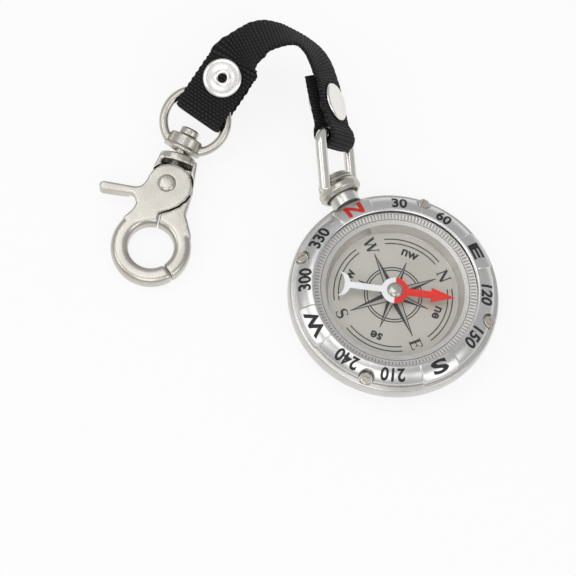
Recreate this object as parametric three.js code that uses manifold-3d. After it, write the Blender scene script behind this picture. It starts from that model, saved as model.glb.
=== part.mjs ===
// Compass keychain: a pocket compass, a short webbing strap and a trigger snap hook.
// Millimetres, +Z up. The compass lies on its back, centred on the origin, with its neck
// along +Y. The strap arches from the bow on the neck to the hook lying beside the case.
import * as THREE from 'three';
import loadManifold from 'manifold-3d';

const kernel = await loadManifold();
kernel.setup();
const { Manifold, Mesh: KernelMesh } = kernel;

// Fits
const seatGap = 0.05;        // between pieces that rest on each other in the case
const runGap = 0.3;          // between pieces that move past each other
const holeGap = 0.25;        // round a screw, pin or rivet in its hole

// Case
const caseRadius = 25;
const rimLow = 5;
const rimHigh = 7;
const seatHeight = 8.2;
const seatDraft = 0.4;       // how far the rim draws in towards the bezel's seat
const seatRadius = caseRadius - seatDraft;
const caseFoot = 3.3;
const footRound = 2.8;
const footRadius = caseRadius - footRound;
const caseWall = 5.2;
const boreRadius = caseRadius - caseWall;
const ledgeBreadth = 4.3;
const ledgeRadius = boreRadius - ledgeBreadth;
const ledgeHeight = 5;
const ledgeThickness = 0.6;

// Back cover
const backStep = 0.8;        // how far the back cover stands inside the case's foot
const backRadius = footRadius - backStep;
const backRound = 6.4;       // breadth of the rounded edge about the flat middle
const backFlatRadius = backRadius - backRound;
const backDepth = 2.9;
const backWall = 1.1;
const backLipStep = 1;
const backLipRadius = backRadius - backLipStep;
const backLipWall = 1.2;
const backLipTop = 4.3;

// Dial stack
const dialGap = 0.3;         // between the dial and the case's bore
const dialRadius = boreRadius - dialGap;
const dialThickness = 0.6;
const chapterGap = 0.4;      // between the chapter ring and the case's bore
const chapterOuter = boreRadius - chapterGap;
const chapterBreadth = 3;
const chapterInner = chapterOuter - chapterBreadth;
const chapterWall = 0.8;
const chapterTop = 9.6;
const chapterSlope = 0.3;
const gasketWall = 0.5;
const crystalLap = 0.4;      // how far the crystal reaches past the case's bore
const crystalRadius = boreRadius + crystalLap;
const crystalThickness = 1;

// Bezel
const bezelLap = 0.9;        // how far the bezel reaches in over the crystal
const bezelInner = crystalRadius - bezelLap;
const bezelStep = 0.7;       // how far the bezel stands back from its seat's edge
const bezelOuter = seatRadius - bezelStep;
const bezelTop = 11.6;
const bezelEdge = 9.2;
const bezelCrown = 2.2;      // power of the curve that falls from the top to the edge
const rabbetGap = 0.2;       // round the crystal
const rabbetRadius = crystalRadius + rabbetGap;
const tileRaise = 0.35;
const tileStep = 0.4;        // how far the number fields stand back at the edge
const tileSpan = 24;
const screwInset = 0.7;
const screwCircle = bezelOuter - screwInset;
const screwHeadRadius = 1.35;
const screwHeadHeight = 0.8;
const screwShankRadius = 0.7;
const screwSeat = 8.9;
const screwLength = 3.2;
const slotWidth = 0.45;
const slotDepth = 0.35;

// Needle
const needleHeight = 8.3;
const needleThickness = 0.4;
const needleSwing = 2.2;     // between the needle's tip and the chapter ring
const needleTip = chapterInner - needleSwing;
const needleHeadLength = 5.6;
const needleHeadBase = needleTip - needleHeadLength;
const needleHeadHalf = 1.8;
const needleStemHalf = 0.85;
const needleHubRadius = 3.2;
const needleTailHalf = 0.78;
const needleTailSwing = 5.9;
const needleTailRadius = chapterInner - needleTailSwing;
const crescentHalf = 3;
const crescentDepth = 2.7;
const crescentWidth = 1.45;
const needleHeading = 122.5;
const capRadius = 2.1;
const capStemRadius = 1.4;
const capTop = 9.6;
const capBore = 0.9;
const pivotRadius = 0.45;
const pivotBaseRadius = 1.6;
const pivotBaseHeight = 0.4;

// Strap's width, which the bow and the eye are made to take
const strapWidth = 12.5;
const bowRoom = 0.15;        // between an edge of the strap and the bow
const eyeRoom = 0.3;         // between an edge of the strap and the eye's bore

// Neck, crown and bow
const neckHeight = 8;
const neckRadius = 3.4;
const neckReach = 2.4;       // how far the neck stands out of the case
const neckEnd = caseRadius + neckReach;
const pinRadius = 1.2;
const pinDepth = 2.6;
const pinRoot = neckEnd - pinDepth;
const pinHeadRadius = 2.3;
const pinHeadHeight = 1;
const crownRadius = 5.2;
const crownLap = 0.8;        // how far the crown's skirt comes down over the neck
const crownFoot = neckEnd - crownLap;
const crownWeb = neckEnd + 0.7;
const crownWebThickness = 1.3;
const crownHeight = 4.6;
const crownTop = crownFoot + crownHeight;
const crownBore = 2.7;
const crownChamfer = 0.7;
const crownShoulder = 0.8;   // how far the crown draws in above the bow's feet
const buttonRadius = 4;
const buttonHeight = 1.5;
const buttonPlug = 0.35;
const crownTurn = 54;
const hingeRise = 2;
const hingeAlong = crownFoot + hingeRise;
const bowWireRadius = 1.35;
const bowInnerWidth = strapWidth + 2 * bowRoom;
const bowReach = 13.4;
const bowBelow = 1.4;
const bowCorner = 3;
const bowTilt = 24.7;
const footRadiusBow = 0.95;
const footDepth = 0.9;

// Strap
const strapThickness = 1.2;
const tailLength = 16.3;
const snapAtEye = 8.8;
const snapAtBow = 8.3;
const eyeFoldHalf = 2.3;     // half the distance between the two layers at the eye
const bowFoldHalf = 2.25;    // the same at the bow
const bowStudHalf = 1.45;    // the same at the bow's press stud
const tailHalf = 1.1;        // the same at the end of a tail
const strapTurnAtEye = 9.5;  // how far the fold has slid round the eye's ring
const strapRiseAtEye = 6;
const strapTurnAtBow = -8;
const foldPastBar = 0.75;
const straightRun = 14;
// The arch between the two straight ends. Its lean is how far the width turns about the
// route from level: the strap rises flat off the eye and comes down on its edge to the bow.
const archRoute = [
  { at: [-4.2, 67.4, 18.2], lean: -22 },
  { at: [-2.5, 67.6, 19.5], lean: -26 },
  { at: [-0.1, 67.3, 20.1], lean: -29 },
  { at: [3.4, 66, 19.7], lean: -40 },
  { at: [5.8, 64.2, 18.7], lean: -50 },
  { at: [7.4, 61.4, 17.1], lean: -53 },
  { at: [8, 57.1, 14.8], lean: -51 },
];

// Press studs
const studFlangeRadius = 4.7;
const studFlangeHeight = 0.55;
const studTubeRadius = 1.6;
const studEyelet = 0.9;
const studRingRadius = 3;
const studBossRadius = 1.7;
const studGap = 0.25;        // between a layer and the half of a press stud that sits on it
const studFloor = 0.25;

// Hook
const hookPlace = [-46.1, 35.7, 2.9];
const hookHeading = 41.1;
const hookPitch = 3.6;
const hookHalf = 2.2;
const ringRadius = 7.45;
const ringHalfWidth = 2.05;
const ringRound = 1.4;
const jawLow = -41.5;
const jawHigh = 88;
const rivetPlace = [-0.6, 16];
const discPlace = [0.1, 15.7];   // middle of the trigger's plate, a little off its rivet
const discRadius = 5.5;
const rivetRadius = 1.5;
const rivetHeadRadius = 2.2;
const rivetHeadHeight = 0.6;
const leverReach = 14.9;
const leverTip = 11.4;
const leverHalf = 1.05;
const leverLow = -1.5;       // underside of the lever, clear of the hook's own plate
const cheekInner = 3.3;
const armInner = 4.1;
const bridgeLow = 21.95;
const bridgeThickness = 2.05;
const bridgeHalfWidth = 4.5;
const bridgeHalfDepth = 3.2;
const springWire = 0.5;
const springRadius = 2.5;
const springTurns = 2;
const springPitch = 0.95;
const pocketWall = 0.65;
const rearWall = 0.6;        // behind the dark gap between the plate and the bridge

// Swivel eye
const swivelAlong = 24.2;    // where the swivel's axis crosses the hook's middle line
const eyeLean = 10.7;
const eyeLift = 14.4;
const wireAlong = 3.75;      // where the ring's wire would meet the axis without the sunk part
const barrelRadius = 4.2;
const barrelLow = 1.35;
const barrelHeight = 3.7;
const barrelRim = 0.4;
const barrelRimHeight = 0.8;
const eyeWireRadius = 1.1;
const eyeRadius = strapWidth / 2 + eyeRoom + eyeWireRadius;
const eyeSunk = 2;           // how far the ring's wire runs past the middle of the barrel
const eyeCentre = eyeRadius - eyeSunk;
const shankRadius = 1.25;
const shankHeadRadius = 2.3;
const shankHeadHeight = 1.9;
const shankFoot = -1.9;      // the stud ends inside the bridge

const steel = { color: 0xb9b6ae, roughness: 0.35, metalness: 1 };
const satin = { color: 0xa9a7a1, roughness: 0.45, metalness: 1 };
const bright = { color: 0xd6d3cb, roughness: 0.2, metalness: 1 };
const degrees = Math.PI / 180;
const vector = (list) => new THREE.Vector3(...list);

// Welds corners, drops empty triangles and turns the faces outwards.
function solid(geometry) {
  const loose = geometry.index ? geometry.toNonIndexed() : geometry;
  const place = loose.attributes.position;
  const known = new Map();
  const corners = [];
  const ids = [];
  for (let i = 0; i < place.count; i += 1) {
    const p = [place.getX(i), place.getY(i), place.getZ(i)];
    const key = p.map((v) => Math.round(v * 1e4)).join();
    if (!known.has(key)) {
      known.set(key, corners.length);
      corners.push(p);
    }
    ids.push(known.get(key));
  }
  const faces = [];
  let volume = 0;
  for (let i = 0; i < ids.length; i += 3) {
    const [a, b, c] = ids.slice(i, i + 3);
    if (a !== b && b !== c && c !== a) {
      faces.push([a, b, c]);
      volume += vector(corners[a]).dot(vector(corners[b]).cross(vector(corners[c])));
    }
  }
  const turned = volume < 0 ? faces.map(([a, b, c]) => [a, c, b]) : faces;
  return Manifold.ofMesh(new KernelMesh({
    numProp: 3,
    vertProperties: new Float32Array(corners.flat()),
    triVerts: new Uint32Array(turned.flat()),
  }));
}

const join = (...bodies) => Manifold.union(bodies);
const cut = (body, ...tools) => body.subtract(Manifold.union(tools));

// Adds a finished body to its group as a named mesh.
function piece(group, name, body, finish) {
  const data = body.getMesh();
  const geometry = new THREE.BufferGeometry();
  geometry.setAttribute('position', new THREE.BufferAttribute(new Float32Array(data.vertProperties), 3));
  geometry.setIndex(new THREE.BufferAttribute(new Uint32Array(data.triVerts), 1));
  geometry.computeVertexNormals();
  const mesh = new THREE.Mesh(geometry, new THREE.MeshStandardMaterial(finish));
  mesh.name = name;
  group.add(mesh);
  return mesh;
}

function groupAt(parent, position, rotation, order = 'XYZ') {
  const group = new THREE.Group();
  group.position.set(...position);
  group.rotation.set(...rotation, order);
  parent.add(group);
  return group;
}

// Even steps from one value to another, both included.
function spaced(from, to, steps) {
  return Array.from({ length: steps + 1 }, (_, i) => from + (to - from) * i / steps);
}

// Points on a quarter or other part of an ellipse, both ends included.
function bend(centre, radii, from, to, steps) {
  return Array.from({ length: steps + 1 }, (_, i) => {
    const angle = (from + (to - from) * i / steps) * degrees;
    return [centre[0] + radii[0] * Math.cos(angle), centre[1] + radii[1] * Math.sin(angle)];
  });
}

// A profile of radius and height turned about Z. A profile off the axis closes on itself.
function revolve(profile, sides = 48) {
  const points = profile.map(([r, z]) => new THREE.Vector2(r, z));
  if (profile[0][0] > 0) {
    points.push(points[0].clone());
  }
  return solid(new THREE.LatheGeometry(points, sides).rotateX(Math.PI / 2));
}

function rodGeometry(radius, low, high, sides = 18) {
  const upright = new THREE.CylinderGeometry(radius, radius, high - low, sides);
  return upright.rotateX(Math.PI / 2).translate(0, 0, (low + high) / 2);
}

const rod = (radius, low, high, x = 0, y = 0) => solid(rodGeometry(radius, low, high).translate(x, y, 0));
const rodAlongX = (radius, low, high) => solid(rodGeometry(radius, low, high).rotateY(Math.PI / 2));
const rodAlongY = (radius, low, high, z = 0) => (
  solid(rodGeometry(radius, low, high).rotateX(-Math.PI / 2).translate(0, 0, z)));

// A broad round plate between two heights.
const plate = (radius, low, high) => revolve([[0, low], [radius, low], [radius, high], [0, high]], 48);

// A flat outline between two heights.
function slab(outline, low, high) {
  const shape = new THREE.Shape(outline.map(([x, y]) => new THREE.Vector2(x, y)));
  const block = new THREE.ExtrudeGeometry(shape, { depth: high - low, bevelEnabled: false });
  return solid(block.translate(0, 0, low));
}

function box(x, y, z) {
  const block = new THREE.BoxGeometry(x[1] - x[0], y[1] - y[0], z[1] - z[0]);
  return solid(block.translate((x[0] + x[1]) / 2, (y[0] + y[1]) / 2, (z[0] + z[1]) / 2));
}

// A convex section carried along stations, each with its place and two section axes.
function sweep(stations, section) {
  const count = section.length;
  const corners = stations.flatMap(({ at, across, up }) => section.map(([a, b]) => (
    at.clone().addScaledVector(across, a).addScaledVector(up, b))));
  const faces = [];
  for (let i = 0; i + 1 < stations.length; i += 1) {
    for (let j = 0; j < count; j += 1) {
      const a = i * count + j;
      const b = i * count + (j + 1) % count;
      faces.push(a, b, b + count, a, b + count, a + count);
    }
  }
  const last = (stations.length - 1) * count;
  for (let j = 1; j + 1 < count; j += 1) {
    faces.push(0, j + 1, j, last, last + j, last + j + 1);
  }
  const geometry = new THREE.BufferGeometry().setFromPoints(corners);
  geometry.setIndex(faces);
  return solid(geometry);
}

// A rectangle with rounded corners, as a list of section points.
function roundedSection(halfWidth, halfHeight, radius, steps = 3) {
  const w = halfWidth - radius;
  const h = halfHeight - radius;
  return [[w, h, 0], [-w, h, 90], [-w, -h, 180], [w, -h, 270]].flatMap(([x, y, start]) => (
    bend([x, y], [radius, radius], start, start + 90, steps)));
}

const circle = (radius, sides) => bend([0, 0], [radius, radius], 0, 360 - 360 / sides, sides - 1);

// Stations on an arc about Z, with the section's first axis pointing outwards.
function arcStations(radius, from, to, steps) {
  return bend([0, 0], [1, 1], from, to, steps).map(([x, y]) => ({
    at: new THREE.Vector3(x * radius, y * radius, 0),
    across: new THREE.Vector3(x, y, 0),
    up: new THREE.Vector3(0, 0, 1),
  }));
}

// Stations along points that lie in one plane, whose normal is given.
function planeStations(points, normal) {
  return points.map((at, i) => {
    const ahead = points[Math.min(i + 1, points.length - 1)];
    const along = ahead.clone().sub(points[Math.max(i - 1, 0)]).normalize();
    return { at, across: along.cross(normal).normalize(), up: normal };
  });
}

const keychain = new THREE.Group();

// Case: ring with its cast neck, back cover, dial stack, bezel and its screws
const bezelFloor = seatHeight + seatGap;
const dialTop = ledgeHeight + seatGap + dialThickness;
const crystalLow = chapterTop + 6 * seatGap;
const bezelLip = crystalLow + crystalThickness + 2 * seatGap;
const screwAngles = [45, 135, 225, 315];

function screwPoint(angle) {
  return [screwCircle * Math.sin(angle * degrees), screwCircle * Math.cos(angle * degrees)];
}

function caseRing() {
  const rimCurve = bend([footRadius, rimLow], [caseRadius - footRadius, rimLow - caseFoot], -90, 0, 4);
  const ring = revolve([
    [ledgeRadius, ledgeHeight - ledgeThickness], [backLipRadius + holeGap, ledgeHeight - ledgeThickness],
    [backLipRadius + holeGap, caseFoot], ...rimCurve, [caseRadius, rimHigh], [seatRadius, seatHeight],
    [boreRadius, seatHeight], [boreRadius, ledgeHeight], [ledgeRadius, ledgeHeight],
  ], 48);
  const neck = cut(
    rodAlongY(neckRadius, footRadius, neckEnd, neckHeight),
    plate(bezelOuter + holeGap, seatHeight, bezelTop),
  );
  const screwHoles = screwAngles.map((angle) => (
    rod(screwShankRadius + holeGap, screwSeat - screwLength - runGap, bezelTop, ...screwPoint(angle))));
  const pinHole = rodAlongY(pinRadius + seatGap, pinRoot - runGap, neckEnd + 1, neckHeight);
  return cut(join(ring, neck), pinHole, ...screwHoles);
}

function backCover() {
  const dome = bend([backFlatRadius, backDepth], [backRadius - backFlatRadius, backDepth], -90, 0, 5);
  const lipInner = backLipRadius - backLipWall;
  const hollow = [lipInner - backFlatRadius, backDepth - backWall];
  const inside = bend([backFlatRadius, backDepth], hollow, 0, -90, 3);
  return revolve([
    [0, 0], ...dome, [backRadius, caseFoot - seatGap], [backLipRadius, caseFoot - seatGap],
    [backLipRadius, backLipTop], [lipInner, backLipTop], ...inside, [0, backWall],
  ], 48);
}

function chapterRing() {
  const low = dialTop + seatGap;
  const shelf = chapterTop - chapterWall;
  return revolve([
    [chapterInner, low], [chapterInner + chapterWall, low], [chapterInner + chapterWall, shelf],
    [chapterOuter, shelf], [chapterOuter, chapterTop], [chapterInner, chapterTop - chapterSlope],
  ], 48);
}

// Height of the bezel's curved top at a radius.
function bezelHeight(radius) {
  const share = (radius - bezelInner) / (bezelOuter - bezelInner);
  return bezelEdge + (bezelTop - bezelEdge) * (1 - share ** bezelCrown);
}

// Points down the curved top from one radius to another, lowered by a drop.
function bezelCurve(from, to, drop) {
  return spaced(from, to, 5).map((radius) => [radius, bezelHeight(radius) - drop]);
}

function bezel() {
  const fieldOuter = bezelOuter - tileStep;
  const base = revolve([
    [rabbetRadius, bezelFloor], [fieldOuter, bezelFloor],
    ...bezelCurve(fieldOuter, bezelInner + 0.5, tileRaise), [bezelInner, bezelTop - tileRaise - 0.15],
    [bezelInner, bezelLip], [rabbetRadius, bezelLip],
  ], 48);
  const tileSection = [
    [rabbetRadius, bezelFloor], [bezelOuter, bezelFloor], ...bezelCurve(bezelOuter, rabbetRadius, 0),
  ];
  const tiles = [0, 90, 180, 270].map((turn) => (
    sweep(arcStations(0, turn - tileSpan / 2, turn + tileSpan / 2, 4), tileSection)));
  const notches = screwAngles.map((angle) => (
    rod(screwHeadRadius + runGap, screwSeat - seatGap, bezelTop + 1, ...screwPoint(angle))));
  const holes = screwAngles.map((angle) => (
    rod(screwShankRadius + holeGap, bezelFloor - 1, bezelTop, ...screwPoint(angle))));
  return cut(join(base, ...tiles), ...notches, ...holes);
}

function bezelScrew() {
  const top = screwSeat + screwHeadHeight;
  const shape = revolve([
    [0, screwSeat - screwLength], [screwShankRadius, screwSeat - screwLength], [screwShankRadius, screwSeat],
    [screwHeadRadius, screwSeat], [screwHeadRadius, top - 0.25], [screwHeadRadius - 0.3, top], [0, top],
  ], 24);
  const half = slotWidth / 2;
  return cut(shape, box([-2, 2], [-half, half], [top - slotDepth, top + 1]));
}

piece(keychain, 'case_ring', caseRing(), satin);
piece(keychain, 'back_cover', backCover(), satin);
piece(keychain, 'dial', plate(dialRadius, ledgeHeight + seatGap, dialTop), {
  color: 0xcfc9bd, roughness: 0.5, metalness: 0.3,
});
piece(keychain, 'chapter_ring', chapterRing(), { color: 0xc9c9c7, roughness: 0.3, metalness: 0.4 });
piece(keychain, 'crystal_gasket', revolve([
  [crystalRadius - gasketWall, bezelFloor], [crystalRadius, bezelFloor],
  [crystalRadius, crystalLow - seatGap], [crystalRadius - gasketWall, crystalLow - seatGap],
]), { color: 0x2a2a2a, roughness: 0.8, metalness: 0 });
piece(keychain, 'crystal', plate(crystalRadius, crystalLow, crystalLow + crystalThickness), {
  color: 0xeef2f4, roughness: 0.05, metalness: 0, transparent: true, opacity: 0.25,
});
piece(keychain, 'bezel', bezel(), steel);
screwAngles.forEach((angle, i) => {
  const holder = groupAt(keychain, [...screwPoint(angle), 0], [0, 0, (35 + 50 * i) * degrees]);
  piece(holder, `bezel_screw_${i + 1}`, bezelScrew(), bright);
});

// Needle: a pivot on the dial, and the turning needle with its cap
function needlePlate() {
  const top = needleHeight + needleThickness;
  const arrow = slab([
    [-needleStemHalf, 0], [-needleStemHalf, needleHeadBase], [-needleHeadHalf, needleHeadBase],
    [0, needleTip], [needleHeadHalf, needleHeadBase], [needleStemHalf, needleHeadBase], [needleStemHalf, 0],
  ].reverse(), needleHeight, top);
  const tail = slab([
    [-needleTailHalf, -needleTailRadius - 0.4], [needleTailHalf, -needleTailRadius - 0.4],
    [needleTailHalf, 0], [-needleTailHalf, 0],
  ], needleHeight, top);
  const reach = needleTailRadius + crescentDepth;
  const outer = bend([0, -reach], [crescentHalf, crescentDepth], 180, 0, 12);
  const inner = bend([0, -reach], [crescentHalf - 0.2, crescentDepth - crescentWidth], 0, 180, 12);
  const crescent = slab([...outer, ...inner], needleHeight, top);
  const hub = rod(needleHubRadius, needleHeight, top);
  return cut(join(hub, arrow, tail, crescent), rod(capStemRadius + seatGap, needleHeight - 1, top + 1));
}

function needleCap() {
  const plateTop = needleHeight + needleThickness + seatGap;
  const dome = bend([0, plateTop + 0.3], [capRadius, capTop - plateTop - 0.3], 0, 90, 4);
  const roof = capTop - 0.6;
  return revolve([
    [0, roof], [capBore, roof], [capBore, needleHeight - 0.3], [capStemRadius, needleHeight - 0.3],
    [capStemRadius, plateTop], [capRadius, plateTop], ...dome.slice(0, -1), [0, capTop],
  ], 24);
}

const pivotLow = dialTop + seatGap;
const pivotTop = capTop - 0.6 - runGap;
piece(keychain, 'needle_pivot', revolve([
  [0, pivotLow], [pivotBaseRadius, pivotLow], [pivotBaseRadius, pivotLow + pivotBaseHeight],
  [pivotRadius, pivotLow + pivotBaseHeight], [pivotRadius, pivotTop - 0.6], [0, pivotTop],
], 24), bright);
const needleGroup = groupAt(keychain, [0, 0, 0], [0, 0, -needleHeading * degrees]);
piece(needleGroup, 'needle', needlePlate(), { color: 0xd8271c, roughness: 0.4, metalness: 0 });
piece(needleGroup, 'needle_cap', needleCap(), bright);

// Crown that swivels on the neck, its retaining pin and its ribbed button
const neckGroup = groupAt(keychain, [0, 0, neckHeight], [-Math.PI / 2, 0, 0]);
const webTop = crownWeb + crownWebThickness;
piece(neckGroup, 'crown_pin', revolve([
  [0, pinRoot], [pinRadius, pinRoot], [pinRadius, webTop + runGap], [pinHeadRadius, webTop + runGap],
  [pinHeadRadius, webTop + runGap + pinHeadHeight], [0, webTop + runGap + pinHeadHeight],
], 24), steel);

const bowHalf = bowInnerWidth / 2 + bowWireRadius;
const footEnd = crownRadius - footDepth;

function crown() {
  const socket = neckRadius + 2 * runGap;
  const shell = revolve([
    [socket, crownFoot], [crownRadius - crownChamfer, crownFoot], [crownRadius, crownFoot + crownChamfer],
    [crownRadius, hingeAlong + 0.9], [crownRadius - crownShoulder, hingeAlong + 1.6],
    [crownRadius - crownShoulder - 0.2, crownTop], [crownBore, crownTop],
    [crownBore, webTop], [pinRadius + runGap, webTop], [pinRadius + runGap, crownWeb], [socket, crownWeb],
  ], 32);
  const footHole = (low, high) => solid(
    rodGeometry(footRadiusBow + runGap, low, high).rotateY(Math.PI / 2).translate(0, 0, hingeAlong));
  const inner = footEnd - runGap;
  return cut(shell, footHole(inner, crownRadius + 1), footHole(-crownRadius - 1, -inner));
}

// Button profile: a plug, then steps that draw in towards a rounded top.
function crownButton() {
  const base = crownTop + seatGap;
  const plug = crownBore - holeGap;
  const steps = [0, 1, 2].flatMap((i) => {
    const radius = buttonRadius - 0.4 * i;
    const z = base + buttonHeight * i / 3;
    const next = base + buttonHeight * (i + 0.7) / 3;
    const end = base + buttonHeight * (i + 1) / 3;
    return [[radius, z], [radius - 0.1, next], [radius - 0.6, next], [radius - 0.6, end]];
  });
  return revolve([
    [0, base - buttonPlug], [plug, base - buttonPlug], [plug, base], ...steps,
    [0, base + buttonHeight + 0.25],
  ], 24);
}

const crownGroup = groupAt(neckGroup, [0, 0, 0], [0, 0, crownTurn * degrees]);
piece(crownGroup, 'crown', crown(), satin);
piece(crownGroup, 'crown_button', crownButton(), satin);

// Bow: a bent wire with two turned-in feet
const bowGroup = groupAt(crownGroup, [0, 0, hingeAlong], [bowTilt * degrees, 0, 0]);

function bow() {
  const bar = bowReach - bowCorner;
  const side = bowHalf - bowCorner;
  const outline = [
    [bowHalf, -bowBelow], ...bend([side, bar], [bowCorner, bowCorner], 0, 90, 8),
    ...bend([-side, bar], [bowCorner, bowCorner], 90, 180, 8), [-bowHalf, -bowBelow],
  ].map(([x, z]) => new THREE.Vector3(x, 0, z));
  const wire = sweep(planeStations(outline, new THREE.Vector3(0, 1, 0)), circle(bowWireRadius, 12));
  const feet = [rodAlongX(footRadiusBow, footEnd, bowHalf), rodAlongX(footRadiusBow, -bowHalf, -footEnd)];
  return join(wire, ...feet);
}

piece(bowGroup, 'bow', bow(), steel);

// Hook body, trigger, rivet and spring
const hookGroup = groupAt(keychain, hookPlace, [hookPitch * degrees, 0, -hookHeading * degrees], 'ZXY');
const plateGap = runGap / 2;
const ringSection = roundedSection(ringHalfWidth, hookHalf, ringRound);
const [rivetX, rivetY] = rivetPlace;
const [discX, discY] = discPlace;
const bridgeTop = bridgeLow + bridgeThickness;
const bridgeMiddle = bridgeLow + bridgeThickness / 2;
const seam = -0.3;

// The trigger's seam against the fixed jaw: from the ring's hole up to the plate's round edge.
const seamLine = [[seam, ringRadius - ringHalfWidth], [seam - 0.2, 8.2], [1.7, 9.6], [3.9, 11.5]];

// The arm's outer edge, from the ring up to the bridge.
const armEdge = [
  [8.7, 4.4], [7, 7.6], [5.75, 9.8], [5.85, 11.7], [5.85, rivetY], [5.4, 19], [5, bridgeMiddle],
];

function hookBody() {
  const jaw = sweep(arcStations(ringRadius, jawLow, jawHigh, 18), ringSection);
  const backPlate = slab([
    ...armEdge, [-4.2, bridgeMiddle], [-4.9, 18.5], [-4.9, rivetY],
    [0.4, 11], [0.4, 8.6], [2.4, 7], [7, 3.5],
  ], -hookHalf, -plateGap);
  const rearDisc = rod(discRadius, -hookHalf, -plateGap, discX, discY);
  const leftCheek = slab([
    [-4.9, 18.5], [-cheekInner, 18.5], [-cheekInner, bridgeMiddle], [-4.2, bridgeMiddle],
  ], -hookHalf, hookHalf);
  const rightArm = slab([
    ...armEdge, [armInner, bridgeMiddle], [armInner, rivetY], [0.15, 10.5], [0.15, 7], [6, 4.5],
  ], -hookHalf, hookHalf);
  const bridgeRing = solid(rodGeometry(1, bridgeLow, bridgeTop).scale(bridgeHalfWidth, bridgeHalfDepth, 1)
    .rotateX(-Math.PI / 2));
  const clearance = slab([
    ...seamLine.map(([x, y]) => [x + runGap, y - runGap / 2]), [discX, discY], [-12, discY], [-12, 0],
  ], -plateGap, hookHalf + 1);
  const swivelHole = solid(rodGeometry(shankRadius + seatGap, -4, 4).rotateX(-Math.PI / 2)
    .rotateX(eyeLift * degrees).rotateZ(-eyeLean * degrees).translate(0, swivelAlong, 0));
  return cut(
    join(jaw, backPlate, rearDisc, leftCheek, rightArm, bridgeRing), clearance, swivelHole,
    rod(discRadius + runGap, -plateGap, hookHalf + 1, discX, discY),
    box([-cheekInner, armInner], [18.6, bridgeLow], [rearWall - hookHalf, hookHalf + 1]),
    rod(rivetRadius + holeGap, -hookHalf - 1, hookHalf + 1, rivetX, rivetY),
    rod(springRadius + springWire + runGap, pocketWall - hookHalf, hookHalf, rivetX, rivetY),
  );
}

function trigger() {
  const jaw = sweep(arcStations(ringRadius, 180 - jawHigh, jawLow + 357.5, 26), ringSection);
  const disc = rod(discRadius, plateGap, hookHalf, discX, discY);
  const web = slab([
    [-5.6, 4.2], [seam, ringRadius - 0.8], ...seamLine.slice(1), [discX, discY],
    [discX - discRadius + 0.1, discY - 1], [-6.3, 8.9], [-6.5, 7.75], [-7.3, 6.3], [-8.3, 4.8],
  ], plateGap, hookHalf);
  const lever = slab([
    [-leverReach, leverTip - leverHalf], [-8.5, 11.2], [-7.1, 10.8], [-6.3, 9.4], [rivetX, 9.4],
    [rivetX, rivetY], [-5.3, rivetY], [-5.7, 14.8], [-6.3, 13.8], [-7.4, 13.2],
    [-leverReach, leverTip + leverHalf],
  ], plateGap, hookHalf);
  const grip = slab([
    [-leverReach, leverTip - leverHalf], [-8.5, 11.2], [-8.5, 13.05], [-leverReach, leverTip + leverHalf],
  ], leverLow, hookHalf);
  const tip = rod(leverHalf, leverLow, hookHalf, -leverReach, leverTip);
  return cut(
    join(jaw, disc, web, lever, grip, tip),
    rod(rivetRadius + holeGap, -hookHalf, hookHalf + 1, rivetX, rivetY),
    rod(springRadius + springWire + runGap, 0, hookHalf - pocketWall - 0.3, rivetX, rivetY),
  );
}

function triggerRivet() {
  const face = hookHalf + seatGap;
  const top = face + rivetHeadHeight;
  return revolve([
    [0, -top], [rivetHeadRadius - 0.3, -top], [rivetHeadRadius, -face - 0.2], [rivetHeadRadius, -face],
    [rivetRadius, -face], [rivetRadius, face], [rivetHeadRadius, face], [rivetHeadRadius, face + 0.25],
    [rivetHeadRadius - 0.4, top], [0, top],
  ], 24);
}

// The spring's coil, and the least gap between one turn and the next.
const coil = Array.from({ length: springTurns * 20 + 1 }, (_, i) => {
  const angle = 2 * Math.PI * i / 20;
  const z = springPitch * (i / 20 - springTurns / 2) - 0.2;
  return new THREE.Vector3(springRadius * Math.cos(angle), springRadius * Math.sin(angle), z);
});

function triggerSpring() {
  const stations = coil.map((at) => {
    const across = new THREE.Vector3(at.x, at.y, 0).normalize();
    return { at, across, up: new THREE.Vector3(0, 0, 1) };
  });
  const gaps = coil.flatMap((a, i) => coil.slice(i + 10).map((b) => a.distanceTo(b)));
  console.log('spring least gap', (Math.min(...gaps) - springWire).toFixed(2));
  return sweep(stations, circle(springWire / 2, 6));
}

piece(hookGroup, 'hook_body', hookBody(), steel);
const rivetGroup = groupAt(hookGroup, [rivetX, rivetY, 0], [0, 0, 0]);
piece(rivetGroup, 'trigger_rivet', triggerRivet(), bright);
piece(rivetGroup, 'trigger_spring', triggerSpring(), bright);
piece(hookGroup, 'trigger', trigger(), steel);

// Swivel eye: a wire ring on a barrel, which turns on a headed stud fixed in the hook's bridge
const eyeGroup = groupAt(hookGroup, [0, swivelAlong, 0], [eyeLift * degrees, 0, -eyeLean * degrees], 'ZXY');
const barrelTop = barrelLow + barrelHeight;
const ringMiddle = wireAlong + eyeCentre;

function swivelEye() {
  const ring = solid(new THREE.TorusGeometry(eyeRadius, eyeWireRadius, 10, 40).translate(0, ringMiddle, 0));
  return cut(
    join(
      ring, rodAlongY(barrelRadius, barrelLow, barrelTop),
      rodAlongY(barrelRadius + barrelRim, barrelLow, barrelLow + barrelRimHeight),
    ),
    rodAlongY(shankRadius + holeGap, barrelLow - 1, barrelTop + 1),
    box([-eyeRadius, eyeRadius], [barrelLow - eyeRadius, barrelLow], [-eyeRadius, eyeRadius]),
  );
}

function swivelStud() {
  const seat = barrelTop + holeGap;
  return solid(new THREE.LatheGeometry([
    [0, shankFoot], [shankRadius, shankFoot], [shankRadius, seat],
    [shankHeadRadius, seat], [shankHeadRadius, seat + shankHeadHeight - 0.4],
    [shankHeadRadius - 0.5, seat + shankHeadHeight], [0, seat + shankHeadHeight],
  ].map(([r, z]) => new THREE.Vector2(r, z)), 24));
}

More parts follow.
